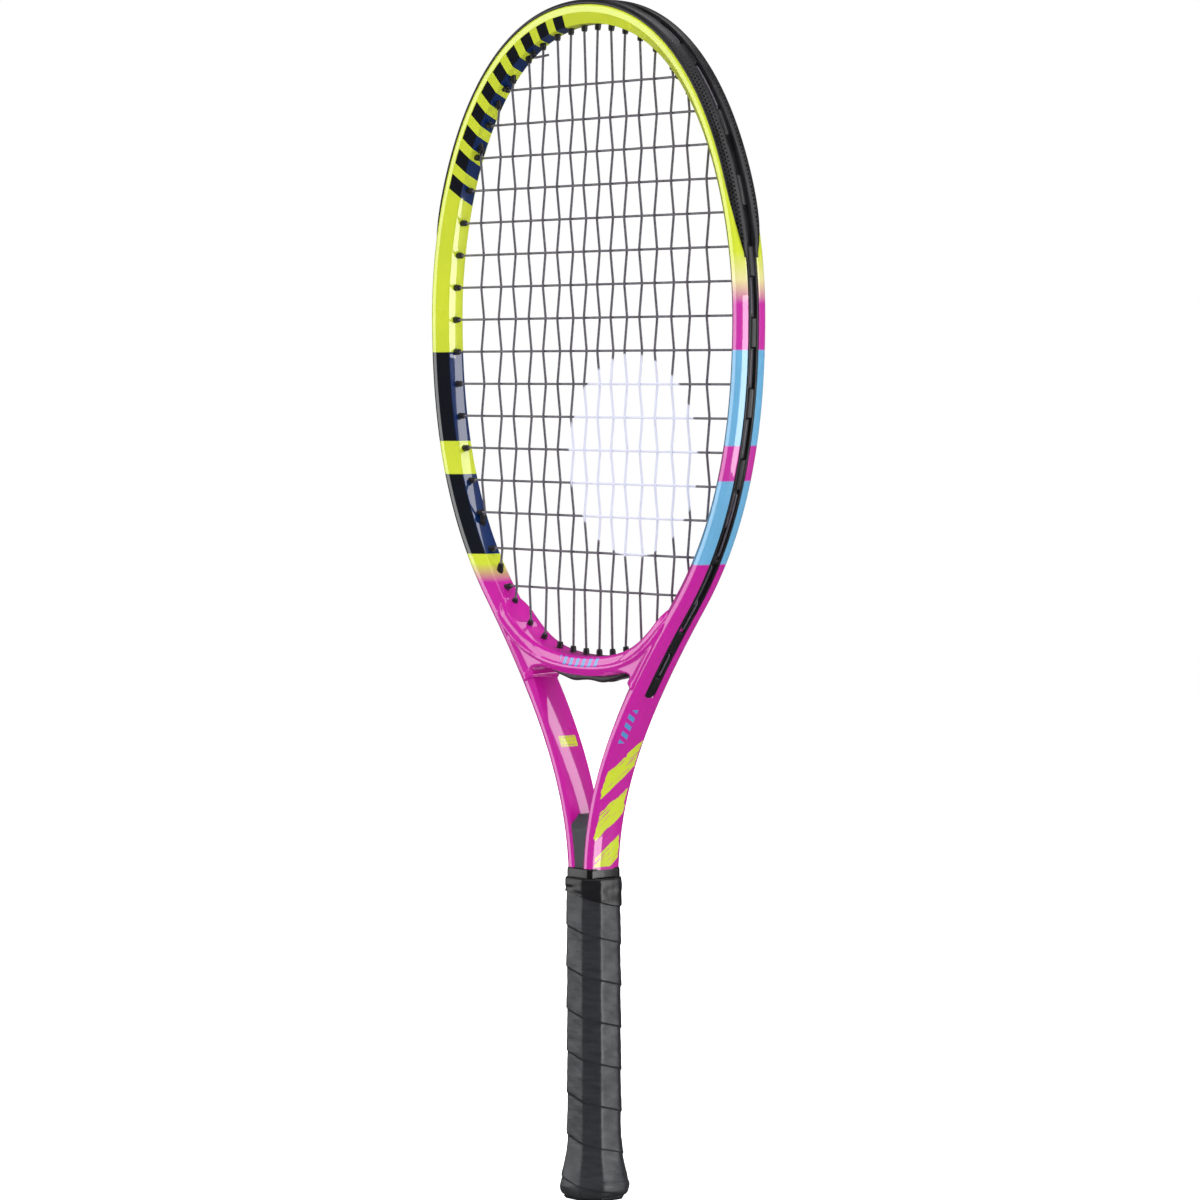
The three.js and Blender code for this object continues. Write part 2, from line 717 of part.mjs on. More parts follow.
function finishingTape() {
  const outer = octagonal([[tape.bottom, grip, 0], [tape.top, grip, 0]]);
  const inner = octagonal([
    [tape.bottom - 1, grip, -tape.thick],
    [grip.top + gap, grip, -tape.thick],
    [grip.top + gap + flat, collar, -collar.thick],
    [tape.top + 1, collar, -collar.thick],
  ]);
  return outer.subtract(inner);
}

function collarRing() {
  const outer = octagonal([[collar.bottom, collar, 0], [collar.top, collar, 0]]);
  const inner = octagonal([
    [collar.bottom - 1, collar, -collar.thick],
    [collar.top + 1, collar, -collar.thick],
  ]);
  return outer.subtract(inner);
}

function throatWedge() {
  const half = (z) => station(stationAtZ(z)).point.x;
  const middle = (collar.top + wedge.top) / 2;
  const heights = [pallet.top + gap, collar.top, middle, wedge.top];
  const outlines = heights.map((z) => {
    const y = z > collar.top ? wedge.halfDepth : wedge.halfDepthInCollar;
    return [[half(z), -y], [half(z), y], [-half(z), y], [-half(z), -y]];
  });
  const rings = outlines.map((outline, i) => outline.map(([x, y]) => new THREE.Vector3(x, y, heights[i])));
  const body = loft(rings, outlines[0], outlines.at(-1));
  const room = [1, -1].map((side) => tubeRoom(wedge.top + 8, pallet.top - 6, side));
  return largest(cut(body, room));
}

// ---------- materials and assembly ----------
const look = (color, roughness, metalness = 0) =>
  new THREE.MeshStandardMaterial({ color, roughness, metalness });
const materials = {
  paint: look(0xc62f96, 0.22, 0.2),
  yokePaint: look(0xc62f96, 0.25),
  nylon: look(0x17181a, 0.45),
  string: look(0x2a2a2e, 0.35),
  foam: look(0x3c3f44, 0.9),
  wedge: look(0x3a3c40, 0.6),
  grip: look(0x1b1c1e, 0.55),
  tape: look(0x101113, 0.3),
  cap: look(0x141517, 0.5),
  steel: look(0xb8babd, 0.35, 0.9),
};

const racket = new THREE.Group();

function add(name, solid, material) {
  const mesh = new THREE.Mesh(geometryOf(solid), material);
  mesh.name = name;
  racket.add(mesh);
}

add("frame_tube", frameTube(), materials.paint);
add("throat_yoke", throatYoke(), materials.yokePaint);
add("bumper_guard", bumperGuard(), materials.nylon);
add("side_grommet_strip_right", sideStrip(1), materials.nylon);
add("side_grommet_strip_left", sideStrip(-1), materials.nylon);
add("throat_grommet_strip", throatGrommetStrip(), materials.nylon);
add("main_string", mainString(), materials.string);
add("cross_string", crossString(), materials.string);
add("throat_wedge", throatWedge(), materials.wedge);
add("handle_pallet", handlePallet(), materials.foam);
add("collar_ring", collarRing(), materials.tape);
add("base_grip", baseGrip(), materials.grip);
add("finishing_tape", finishingTape(), materials.tape);
add("butt_cap", buttCap(), materials.cap);
add("butt_cap_door", buttCapDoor(), materials.cap);
staples.forEach((each) => add(each.name, stapleSolid(each, 0), materials.steel));

export default racket;
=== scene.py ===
"""Look of a strung junior tennis racket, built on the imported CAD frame.

Drawing sizes are millimetres in the row frame: +Z up the handle to the head, +X across the head, and the
front playing face looks along -Y. MM turns them into Blender's metres.
"""
import math

import bmesh
import bpy
import numpy as np
from mathutils import Matrix, Vector


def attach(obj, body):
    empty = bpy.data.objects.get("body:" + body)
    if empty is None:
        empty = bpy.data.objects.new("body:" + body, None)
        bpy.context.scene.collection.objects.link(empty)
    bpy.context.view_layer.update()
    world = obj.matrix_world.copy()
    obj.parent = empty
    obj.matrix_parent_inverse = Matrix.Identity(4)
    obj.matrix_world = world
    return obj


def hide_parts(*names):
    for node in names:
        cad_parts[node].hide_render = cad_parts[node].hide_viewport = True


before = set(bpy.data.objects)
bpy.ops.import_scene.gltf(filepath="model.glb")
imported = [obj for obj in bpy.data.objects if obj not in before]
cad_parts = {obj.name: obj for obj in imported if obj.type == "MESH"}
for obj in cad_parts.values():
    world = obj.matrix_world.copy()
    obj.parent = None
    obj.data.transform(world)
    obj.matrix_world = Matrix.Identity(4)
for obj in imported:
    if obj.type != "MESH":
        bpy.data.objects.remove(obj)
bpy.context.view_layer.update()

MM = 0.001
BODY = "racket"

# ---------- driving dimensions: the CAD's, with a finer section of the tube ----------
HEAD_TOP = 627.2
HALF_WIDTH = 125.3
WIDEST_Z = 468.0
SHOULDER = np.array([78.5, 318.5])
SHOULDER_LEAN = math.radians(39)
SHAFT_END = np.array([6.3, 144.5])
SHAFT_BOTTOM = 6.0
# One half of the tube's section: distance of the outer face and of the inner face from the tube's line,
# half depth, the outer corner's rounding, where the flat front ends, and half the width of the inner face.
HOOP_SECTION = (5.0, 6.2, 9.2, 2.1, -0.4, 4.8)
SHAFT_SECTION = (3.3, 3.3, 10.6, 2.5, -2.0, 9.8)
NECK_SECTION = (3.0, 3.0, 8.4, 1.5, -2.0, 7.6)
NECK = (160.0, 176.0)
INNER_CROWN_RADIUS = 50.0
OUTER_CROWN_RADIUS = 14.0
GROOVE_HALF = 3.6
GROOVE_DEPTH = 2.6
GROOVE_END_Z = 270.0
BUMPER_END_Z = 495.5
BUMPER_TAPER = 42.0
BUMPER_THICK = 1.5
BUMPER_ROUND = 3.1
BUMPER_WRAP = math.radians(55)
STRING_RADIUS = 0.65
MAIN_WAVE = 0.95
CROSS_WAVE = 0.55
LANE = 0.95
STRING_INSET = 1.0
BARREL_RADIUS = 1.65
BARREL_STAND = 4.2
MAIN_X = (5.6, 16.8, 28.2, 40.5, 52.9, 66.4, 79.2, 94.6)
THROAT_MAINS = 3
SIDE_EXIT_Z = {40.5: 281.0, 52.9: 292.0, 66.4: 305.5}
CROSS_FIRST_Z = 589.8
CROSS_GAPS = (18.2, 17.2) + (17.45,) * 11 + (19.2, 20.05)
MAIN_TIE_ROW = 12
CROSS_START_TIE_X = 48.6
CROSS_END_TIE_ROW = 14
YOKE_INNER_Z = 289.0
YOKE_THICK = 10.8
YOKE_HALF = 9.6
THROAT_LEVEL = YOKE_THICK + 1.25 + STRING_RADIUS  # of a string's middle where it turns under the yoke
YOKE_END = np.array([77.3, 326.7])
GRIP_X = 13.6
GRIP_Y = 13.0
GRIP_CHAMFER = 6.5
GRIP_BOTTOM = 1.6
GRIP_TOP = 170.5
WRAP_PITCH = 22.4
WRAP_STEP = 0.6
BUTT_GROW = 3.9
BUTT_WIDEST_Z = 8.0
BUTT_STRAIGHT_Z = 34.0
TAPE_TOP = 171.5
COLLAR = (169.6, 176.6)
WEDGE = (168.4, 204.4)

# ---------- the photograph's view and a plain studio; distances here are metres ----------
CAMERA_AZIMUTH = 51.095
CAMERA_ELEVATION = 3.035
CAMERA_DISTANCE = 2.3411
CAMERA_TARGET = (0.0038573, 0.3181824)  # to the right of the axis in the view, and its height
CAMERA_ROLL = math.radians(0.1675)
CAMERA_LENS = 132.84
FLOOR_RADIUS = 4.0
FLOOR_Z = -34.0  # millimetres, below the door when it is pulled out
ROOM_STRENGTH = 0.06
SUN_ENERGY = 2.2
SUN_ANGLE = math.radians(40)
LIT_POINT = (0, 0, 0.33)
# name, azimuth, elevation, distance, width, height, radiance, and what sees it
SOFT_BOXES = (
    ("right_card", 116, -9, 2.6, 1.1, 1.6, 5.0, "card"),
    ("right_high", 131, 36, 2.6, 0.5, 2.9, 3.6, "both"),
    ("left_card", -51, 6, 2.9, 1.3, 2.2, 2.0, "card"),
    ("left_fill", -90, 10, 2.9, 4.2, 2.2, 2.0, "fill"),
    ("right_fill", 80, 14, 2.9, 3.0, 2.4, 1.55, "fill"),
    ("front_fill", 0, 18, 2.9, 2.6, 2.4, 1.8, "fill"),
    ("rear_fill", 180, 20, 2.9, 2.6, 2.4, 1.6, "fill"),
    ("front_top", 35, 62, 2.6, 1.2, 1.2, 1.6, "both"),
    ("rear_top", -145, 62, 2.6, 1.2, 1.2, 1.6, "both"),
)


# ---------- curves ----------
def bezier(points, count):
    """Points on a cubic curve through its four control points."""
    t = np.linspace(0, 1, count)[:, None]
    a, b, c, d = (np.asarray(p, float) for p in points)
    return (1 - t) ** 3 * a + 3 * (1 - t) ** 2 * t * b + 3 * (1 - t) * t**2 * c + t**3 * d


def lengths_along(points):
    """How far along a line each of its points lies."""
    return np.append(0, np.cumsum(np.linalg.norm(np.diff(points, axis=0), axis=1)))


class PlaneCurve:
    """A curve in the XZ plane with its arc length and the unit normal on its outer side."""

    def __init__(self, points, flip=1):
        keep = np.append(True, np.linalg.norm(np.diff(points, axis=0), axis=1) > 1e-6)
        self.points = points[keep]
        self.s = lengths_along(self.points)
        tangent = np.gradient(self.points, self.s, axis=0)
        tangent /= np.linalg.norm(tangent, axis=1)[:, None]
        self.normal = flip * np.stack([-tangent[:, 1], tangent[:, 0]], 1)
        self.length = self.s[-1]

    def place(self, s, p, q):
        """Points at arc length s (negative on the -X side), p outwards and q across the plane."""
        s, p, q = np.broadcast_arrays(np.asarray(s, float), p, q)
        side = np.where(s < 0, -1.0, 1.0)
        x, z = (np.interp(np.abs(s), self.s, self.points[:, k]) for k in (0, 1))
        nx, nz = (np.interp(np.abs(s), self.s, self.normal[:, k]) for k in (0, 1))
        return np.stack([side * (x + p * nx), q, z + p * nz], -1)

    def height(self, s):
        return np.interp(np.abs(s), self.s, self.points[:, 1])


DOWN_SHOULDER = np.array([-math.sin(SHOULDER_LEAN), -math.cos(SHOULDER_LEAN)])


def hairpin():
    """The +X half of the tube's line, from the top of the head to the bottom of the shaft."""
    side = (HALF_WIDTH, WIDEST_Z)
    parts = [
        bezier([(0, HEAD_TOP), (0.73 * HALF_WIDTH, HEAD_TOP), (HALF_WIDTH, WIDEST_Z + 64.5), side], 900),
        bezier([side, (HALF_WIDTH, WIDEST_Z - 54), SHOULDER - 59 * DOWN_SHOULDER, SHOULDER], 700),
        bezier([SHOULDER, SHOULDER + 119 * DOWN_SHOULDER, SHAFT_END + (0, 46), SHAFT_END], 700),
        np.stack([np.full(200, SHAFT_END[0]), np.linspace(SHAFT_END[1], SHAFT_BOTTOM, 200)], 1),
    ]
    return PlaneCurve(np.concatenate(parts))


def yoke_line():
    """The +X half of the bridge's inner face, from its lowest point to the shoulder."""
    points = bezier([(0, YOKE_INNER_Z), (40, YOKE_INNER_Z), YOKE_END + 35 * DOWN_SHOULDER, YOKE_END], 900)
    return PlaneCurve(points, flip=-1)


TUBE = hairpin()
YOKE = yoke_line()


def smoothstep(x, low, high):
    t = np.clip((np.asarray(x, float) - low) / (high - low), 0, 1)
    return t * t * (3 - 2 * t)


def section_at(z):
    """The six sizes of the tube's section at a height."""
    to_shaft = float(1 - smoothstep(z, 228, 348))
    to_neck = float(1 - smoothstep(z, *NECK))
    sizes = np.array(HOOP_SECTION) * (1 - to_shaft) + np.array(SHAFT_SECTION) * to_shaft
    return sizes * (1 - to_neck) + np.array(NECK_SECTION) * to_neck


def sizes_at(s):
    return section_at(float(TUBE.height(s)))


def solve(measure, low, high, value):
    """The place between low and high where a steadily changing measure takes a value."""
    rising = measure(high) > measure(low)
    for _ in range(50):
        middle = (low + high) / 2
        if (measure(middle) < value) == rising:
            low = middle
        else:
            high = middle
    return (low + high) / 2


def station_at_height(z):
    return solve(lambda s: float(TUBE.height(s)), 0, TUBE.length, z)


def tube_x(z):
    """Distance of the tube's line from the centre plane at a height."""
    return float(TUBE.place(station_at_height(z), 0, 0)[0])


def yoke_at(x):
    return solve(lambda s: YOKE.place(s, 0, 0)[0], 0, YOKE.length, x)


WIDEST = TUBE.s[np.argmax(TUBE.points[:, 0])]
SHOULDER_S = station_at_height(SHOULDER[1])
GROOVE_END = station_at_height(GROOVE_END_Z)
BUMPER_END = station_at_height(BUMPER_END_Z)


# ---------- mesh building ----------
def add_object(name, data):
    obj = bpy.data.objects.new(name, data)
    bpy.context.scene.collection.objects.link(obj)
    return obj


def mesh_object(name, verts, faces, attributes=None):
    """A smooth mesh from millimetre points, with its faces turned outwards."""
    mesh = bpy.data.meshes.new(name)
    mesh.from_pydata((np.asarray(verts).reshape(-1, 3) * MM).tolist(), [], faces)
    for label, values in (attributes or {}).items():
        layer = mesh.attributes.new(label, "FLOAT", "POINT")
        layer.data.foreach_set("value", np.asarray(values, np.float32).ravel())
    bm = bmesh.new()
    bm.from_mesh(mesh)
    bmesh.ops.recalc_face_normals(bm, faces=bm.faces)
    bm.to_mesh(mesh)
    bm.free()
    mesh.polygons.foreach_set("use_smooth", np.ones(len(mesh.polygons), bool))
    return add_object(name, mesh)


def ring_faces(rows, columns, offset=0, caps=True):
    """Faces of a closed skin through rows of rings with the same number of points."""
    i, j = np.meshgrid(np.arange(rows - 1), np.arange(columns), indexing="ij")
    k = (j + 1) % columns
    quads = np.stack([i * columns + j, i * columns + k, (i + 1) * columns + k, (i + 1) * columns + j], -1)
    faces = (quads.reshape(-1, 4) + offset).tolist()
    if caps:
        faces.append((np.arange(columns)[::-1] + offset).tolist())
        faces.append(((rows - 1) * columns + np.arange(columns) + offset).tolist())
    return faces


def skin(name, rings, attributes=None):
    """A closed skin through rings of points, with a flat face at each end."""
    rings = np.asarray(rings)
    return mesh_object(name, rings, ring_faces(rings.shape[0], rings.shape[1]), attributes)


def many_skins(name, groups):
    """One mesh that holds several closed skins."""
    verts, faces, offset = [], [], 0
    for rings in groups:
        rings = np.asarray(rings)
        faces += ring_faces(rings.shape[0], rings.shape[1], offset)
        verts.append(rings.reshape(-1, 3))
        offset += rings.shape[0] * rings.shape[1]
    return mesh_object(name, np.concatenate(verts), faces)


def sharpen(obj, degrees=40):
    """Keeps crisp edges where faces meet at more than an angle."""
    bm = bmesh.new()
    bm.from_mesh(obj.data)
    for edge in bm.edges:
        if len(edge.link_faces) == 2 and edge.calc_face_angle(0) > math.radians(degrees):
            edge.smooth = False
    bm.to_mesh(obj.data)
    bm.free()
    return obj


def both_halves(half):
    """Closes a section by mirroring the points across its middle."""
    half = np.asarray(half)
    return np.concatenate([half, (half * (1, -1))[::-1]])


def circle(side, other, radius, sides):
    """Points of a circle in the plane of two directions."""
    turn = np.linspace(0, 2 * math.pi, sides, endpoint=False)
    return radius * (np.cos(turn)[:, None] * side + np.sin(turn)[:, None] * other)


def rounded(corners, steps=5):
    """A line through corners [x, y, reach]; each corner turns within its reach, with flat sides kept flat."""
    path = [corners[0][:2]]
    for before, corner, after in zip(corners, corners[1:], corners[2:]):
        here = np.array(corner[:2])
        reach = corner[2]
        if reach == 0:
            path.append(here)
            continue
        back = np.array(before[:2]) - here
        ahead = np.array(after[:2]) - here
        back /= np.linalg.norm(back)
        ahead /= np.linalg.norm(ahead)
        path.append(here + back * reach * 1.25)
        for t in np.linspace(0, 1, steps):
            path.append(here + back * reach * (1 - t) ** 2 + ahead * reach * t * t)
        path.append(here + ahead * reach * 1.25)
    path.append(corners[-1][:2])
    return np.array(path)


# ---------- frame ----------
def shell_half(sizes):
    """One half of the painted tube, from the lip of the groove round to the middle of the inner face."""
    outer, inner, depth, corner, front_end, inner_flat = sizes
    crown = inner_flat**2 / (2 * INNER_CROWN_RADIUS)
    outer_face = [
        (outer - across**2 / (2 * OUTER_CROWN_RADIUS), GROOVE_HALF + across, 0)
        for across in (0, 0.1, 0.7, 1.4, 2.1, 2.8)
    ]
    return rounded(
        [
            *outer_face,
            (outer - 0.75, depth, corner),
            (front_end, depth, 0.5),
            (-inner, inner_flat, 0.45),
            (-inner - 0.75 * crown, 0.5 * inner_flat, 0),
            (-inner - crown, 0, 0),
        ]
    )


def tube_ring(s):
    """A ring of points round the tube, and how far round it each lies from the middle of the inner face.

    That distance, the girth, is negative towards the front.
    """
    path = shell_half(sizes_at(s))
    depth = GROOVE_DEPTH * float(1 - smoothstep(abs(s), GROOVE_END - 6, GROOVE_END + 1))
    top = path[0, 0]
    groove = [
        (top - depth, 0.6),
        (top - depth, GROOVE_HALF - 0.5),
        (top - 0.85 * depth, GROOVE_HALF - 0.1),
        (top - 0.12 * depth, GROOVE_HALF - 0.02),
    ]
    half = np.concatenate([groove, path])
    length = lengths_along(half)
    girth = (length - length[-1])[:-1]
    section = both_halves(half[:-1])
    return TUBE.place(s, section[:, 0], section[:, 1]), np.concatenate([-girth, girth[::-1]])


def build_frame():
    side = np.linspace(0.6, TUBE.length - 0.5, 430)
    stations = np.concatenate([-side[::-1], side])
    rings, girths = zip(*(tube_ring(s) for s in stations))
    along = np.repeat(stations * MM, rings[0].shape[0])
    return skin("frame_shell", np.array(rings), {"along": along, "girth": np.array(girths) * MM})


# ---------- yoke ----------
def rounded_bar(thick, half):
    """Section of the throat bridge: flat faces, round edges, and a low ridge near its outer edge."""
    shares = [
        (1.0, 0.2),
        (1.0, 0.62),
        (0.93, 0.8),
        (0.78, 0.88),
        (0.68, 1.02),
        (0.6, 1.06),
        (0.52, 1.0),
        (0.42, 0.93),
        (0.16, 0.92),
        (0.03, 0.8),
        (0.0, 0.5),
        (0.0, 0.15),
    ]
    return both_halves(np.array(shares) * (thick, half))


def yoke_arch():
    """The bridge, which thins and sinks into the shoulders at both ends."""
    rings = []
    for s in np.linspace(-YOKE.length, YOKE.length, 90):
        reach = abs(s) / YOKE.length
        half = YOKE_HALF + 1.1 * smoothstep(reach, 0.35, 0.7) - 8.0 * smoothstep(reach, 0.74, 1.0)
        thick = YOKE_THICK * (1 - 0.7 * smoothstep(reach, 0.75, 1.0))
        sink = 2.6 * smoothstep(reach, 0.8, 1.0)
        section = rounded_bar(thick, half)
        rings.append(YOKE.place(s, section[:, 0] + sink, section[:, 1]))
    return rings


def saddle(side, top_z, bottom_z, full_wrap, fade):
    """A shell on the inner side of a shaft, wrapped onto its front and rear; it fades out upwards."""
    rings = []
    for s in np.linspace(station_at_height(top_z), station_at_height(bottom_z), 24):
        z = float(TUBE.height(s))
        _, inner, depth, _, front_end, inner_flat = section_at(z)
        wrap = full_wrap - (full_wrap + 0.8) * float(smoothstep(z, top_z - fade, top_z))
        half = rounded(
            [
                (0.6, 0, 0),
                (0.6, depth + 0.4 * wrap, 0.3),
                (front_end, depth + 0.5 * wrap, 0.5),
                (-inner - wrap, inner_flat + 0.6 * wrap, 0.6),
                (-inner - wrap - 0.2, 0, 0),
            ]
        )
        half[0, 1] = 0.4
        half[-1, 1] = 0.4
        section = both_halves(half)
        rings.append(TUBE.place(side * s, section[:, 0], section[:, 1]))
    return rings


def gusset(side):
    """Fills the corner between the bridge and a shaft, with a hollow curve below."""
    outline = bezier([(20, 281), (37, 283), (45, 283), (47.5, 273)], 14)
    shaft = [(tube_x(z), z) for z in np.linspace(272, 312, 8)]
    loop = np.concatenate([outline, shaft, [(40, 292)]])
    half_depth = 9.3
    front = np.stack([side * loop[:, 0], np.full(len(loop), -half_depth), loop[:, 1]], 1)
    return [front, front * (1, -1, 1)]


def build_yoke():
    """The bridge, saddles and gussets, melted into one moulding with soft inner corners."""
    parts = [yoke_arch()]
    for side in (1, -1):
        parts.append(saddle(side, 322, 276, 1.5, 30))
        parts.append(saddle(side, 277.4, 273.2, 2.1, 1.2))
        parts.append(gusset(side))
    obj = many_skins("yoke_moulding", parts)
    remesh = obj.modifiers.new("one_body", "REMESH")
    remesh.mode = "VOXEL"
    remesh.voxel_size = 0.6 * MM
    soften = obj.modifiers.new("fillets", "SMOOTH")
    soften.factor = 0.5
    soften.iterations = 7
    return apply_modifiers(obj)


def apply_modifiers(obj):
    graph = bpy.context.evaluated_depsgraph_get()
    mesh = bpy.data.meshes.new_from_object(obj.evaluated_get(graph))
    obj.modifiers.clear()
    obj.data = mesh
    mesh.polygons.foreach_set("use_smooth", np.ones(len(mesh.polygons), bool))
    return obj


# ---------- grommets ----------
def channel_level(sizes):
    return sizes[0] - STRING_INSET


def mouth_level(sizes):
    return -(sizes[1] + BARREL_STAND - 0.9)


class Grommet:
    """Where a string passes through the frame: its mouth inside the head and its bend in the channel.

    s is its station on the tube, lane its side of the channel, and throat its station on the yoke, if any.
    """

    def __init__(self, mouth, outer, s, lane, throat=None):
        self.mouth = np.asarray(mouth, float)
        self.outer = np.asarray(outer, float)
        self.s = s
        self.lane = lane
        self.throat = throat

    def mirror(self):
        flip = np.array([-1, 1, 1])
        throat = None if self.throat is None else -self.throat
        return Grommet(self.mouth * flip, self.outer * flip, -self.s, self.lane, throat)


def tube_point(s, level, lane=0.0):
    return TUBE.place(s, level(sizes_at(s)), lane)


def grommet(axis, value, low, high, lane):
    mouth_s = solve(lambda s: tube_point(s, mouth_level)[axis], low, high, value)
    straight_s = solve(lambda s: tube_point(s, channel_level)[axis], low, high, value)
    s = (mouth_s + straight_s) / 2
    return Grommet(tube_point(mouth_s, mouth_level), tube_point(s, channel_level, lane), s, lane)


def throat_grommet(x):
    s = yoke_at(x)
    return Grommet(YOKE.place(s, -BARREL_STAND + 0.9, 0), YOKE.place(s, THROAT_LEVEL, 0), s, 0.0, s)


def side_grommet_through_yoke(x):
    exit_s = solve(lambda s: tube_point(s, channel_level)[2], 0, TUBE.length, SIDE_EXIT_Z[x])
    mouth = YOKE.place(yoke_at(x), -BARREL_STAND + 0.9, 0)
    mouth[0] = x
    return Grommet(mouth, tube_point(exit_s, channel_level, LANE), exit_s, LANE)


def main_bottom(i, x):
    if i < THROAT_MAINS:
        return throat_grommet(x)
    if x in SIDE_EXIT_Z:
        return side_grommet_through_yoke(x)
    return grommet(0, x, WIDEST, SHOULDER_S + 10, LANE)


CROSS_Z = CROSS_FIRST_Z - np.append(0, np.cumsum(CROSS_GAPS))
MAIN_TOPS = [grommet(0, x, 0, WIDEST, LANE) for x in MAIN_X]
MAIN_BOTTOMS = [main_bottom(i, x) for i, x in enumerate(MAIN_X)]
CROSS_ENDS = [grommet(2, z, 0, SHOULDER_S + 20, -LANE) for z in CROSS_Z]
MAIN_TIE = grommet(2, CROSS_Z[MAIN_TIE_ROW] - 0.8, 0, SHOULDER_S, LANE)
CROSS_START_TIE = grommet(0, CROSS_START_TIE_X, 0, WIDEST, -LANE).mirror()
CROSS_END_TIE = grommet(2, CROSS_Z[CROSS_END_TIE_ROW] - 0.8, 0, SHOULDER_S + 20, -LANE).mirror()
ONE_SIDE = [*MAIN_TOPS, *MAIN_BOTTOMS[THROAT_MAINS:], *CROSS_ENDS]
HOOP_GROMMETS = [*ONE_SIDE, *(g.mirror() for g in ONE_SIDE), CROSS_START_TIE]
THROAT_GROMMETS = [g for h in MAIN_BOTTOMS[:THROAT_MAINS] for g in (h, h.mirror())]


def turned(start, end, profile, sides=20):
    """Rings round the line from start to end; the profile is [distance along it, radius]."""
    axis = (end - start) / np.linalg.norm(end - start)
    side = np.cross(axis, (0, 1, 0.01))
    side /= np.linalg.norm(side)
    other = np.cross(axis, side)
    return [start + axis * along + circle(side, other, radius, sides) for along, radius in profile]


def barrel_rings(g):
    """A moulded tube with a narrow nozzle and a collar where it leaves the frame."""
    length = float(np.linalg.norm(g.mouth - g.outer))
    r = BARREL_RADIUS
    collar = BARREL_STAND - 0.7
    bore = 0.85
    profile = [
        (1.2, bore),
        (0.0, bore),
        (-0.05, bore + 0.12),
        (-0.02, 1.4),
        (0.08, 1.46),
        (0.8, 1.48),
        (0.86, r),
        (1.1, r + 0.02),
        (collar - 0.5, r + 0.03),
        (collar - 0.3, r + 0.25),
        (length * 0.9, r + 0.25),
    ]
    return turned(g.mouth, g.outer, profile)


def build_barrels(name, grommets):
    return sharpen(many_skins(name, [barrel_rings(g) for g in grommets]))


# ---------- string turns: where the string runs in the channel from one grommet to the next ----------
def both_sides(grommets):
    return [*(g.mirror() for g in reversed(grommets)), *grommets]


ALL_X = [*(-x for x in reversed(MAIN_X)), *MAIN_X]
ALL_TOPS = both_sides(MAIN_TOPS)
ALL_BOTTOMS = both_sides(MAIN_BOTTOMS)
LEFT_ENDS = [g.mirror() for g in CROSS_ENDS]


def main_turns():
    """The string starts and ends at a knot; between its runs it turns at the top and bottom by turns."""
    turns = [(MAIN_TIE.mirror(), ALL_BOTTOMS[0])]
    for i in range(len(ALL_X) - 1):
        row = ALL_BOTTOMS if i % 2 else ALL_TOPS
        turns.append((row[i], row[i + 1]))
    return [*turns, (ALL_BOTTOMS[-1], MAIN_TIE)]


def cross_turns():
    turns = [(CROSS_START_TIE, LEFT_ENDS[0])]
    for k in range(len(CROSS_Z) - 1):
        row = LEFT_ENDS if k % 2 else CROSS_ENDS
        turns.append((row[k], row[k + 1]))
    return [*turns, (LEFT_ENDS[-1], CROSS_END_TIE)]


CHANNEL_RUNS = [sorted((a.s, b.s)) for a, b in main_turns() + cross_turns() if a.throat is None]


def covered(s):
    """1 where the strip is solid over the channel, 0 where a string run lies open in it."""
    gap = min(max(low - s, s - high) for low, high in CHANNEL_RUNS)
    return float(smoothstep(gap, 0.9, 1.7))


# ---------- strips and bumper ----------
def channel_section(low, top, half, inner, floor):
    """A strip with two rails and a floor between them."""
    return both_halves(
        [
            (low, 0.5 * half),
            (low, half - 0.2),
            (low + 0.3, half),
            (top - 0.55, half),
            (top - 0.2, half - 0.25),
            (top, half - 0.75),
            (top, inner + 0.4),
            (top - 0.12, inner + 0.1),
            (top - 0.4, inner),
            (min(floor, top - 0.1) + 0.15, inner - 0.03),
            (floor, inner - 0.3),
            (floor, 0.5),
        ]
    )


def build_side_strip(side, name):
    start, end = BUMPER_END - 12, GROOVE_END - 1.2
    round_end = 3.5
    rings = []
    tip = end - round_end * (1 - np.sin(np.linspace(0, math.pi / 2, 12)))
    for s in [*np.linspace(start, end - round_end, 600)[:-1], *tip]:
        outer = sizes_at(s)[0]
        closing = math.sqrt(max(1 - max(0.0, (s - end + round_end) / round_end) ** 2, 0.004))
        deep = outer - GROOVE_DEPTH + 0.9
        floor = deep + (outer - 0.12 - deep) * covered(side * s)
        section = channel_section(outer - GROOVE_DEPTH + 0.2, outer + 0.15, 3.5, 1.85, floor)
        section[:, 1] *= closing
        rings.append(TUBE.place(side * s, section[:, 0], section[:, 1]))
    return sharpen(skin(name, rings), 50)


def build_throat_strip():
    half_length = yoke_at(34.0)
    rings = []
    for s in np.linspace(-half_length, half_length, 150):
        reach = abs(s) / half_length
        closing = math.sqrt(max(1 - max(0.0, (reach - 0.9) / 0.1) ** 2, 0.02))
        bulge = 1.3 * math.exp(-(((abs(s) - 11.5) / 7) ** 2))
        low = YOKE_THICK - 0.4
        top = YOKE_THICK + (2.0 + bulge) * (1 - 0.7 * smoothstep(reach, 0.6, 1.0))
        section = channel_section(low, top, 3.6, 1.6, low + 1.1)
        section[:, 1] *= closing
        rings.append(YOKE.place(s, section[:, 0], section[:, 1]))
    return sharpen(skin("throat_strip", rings), 50)


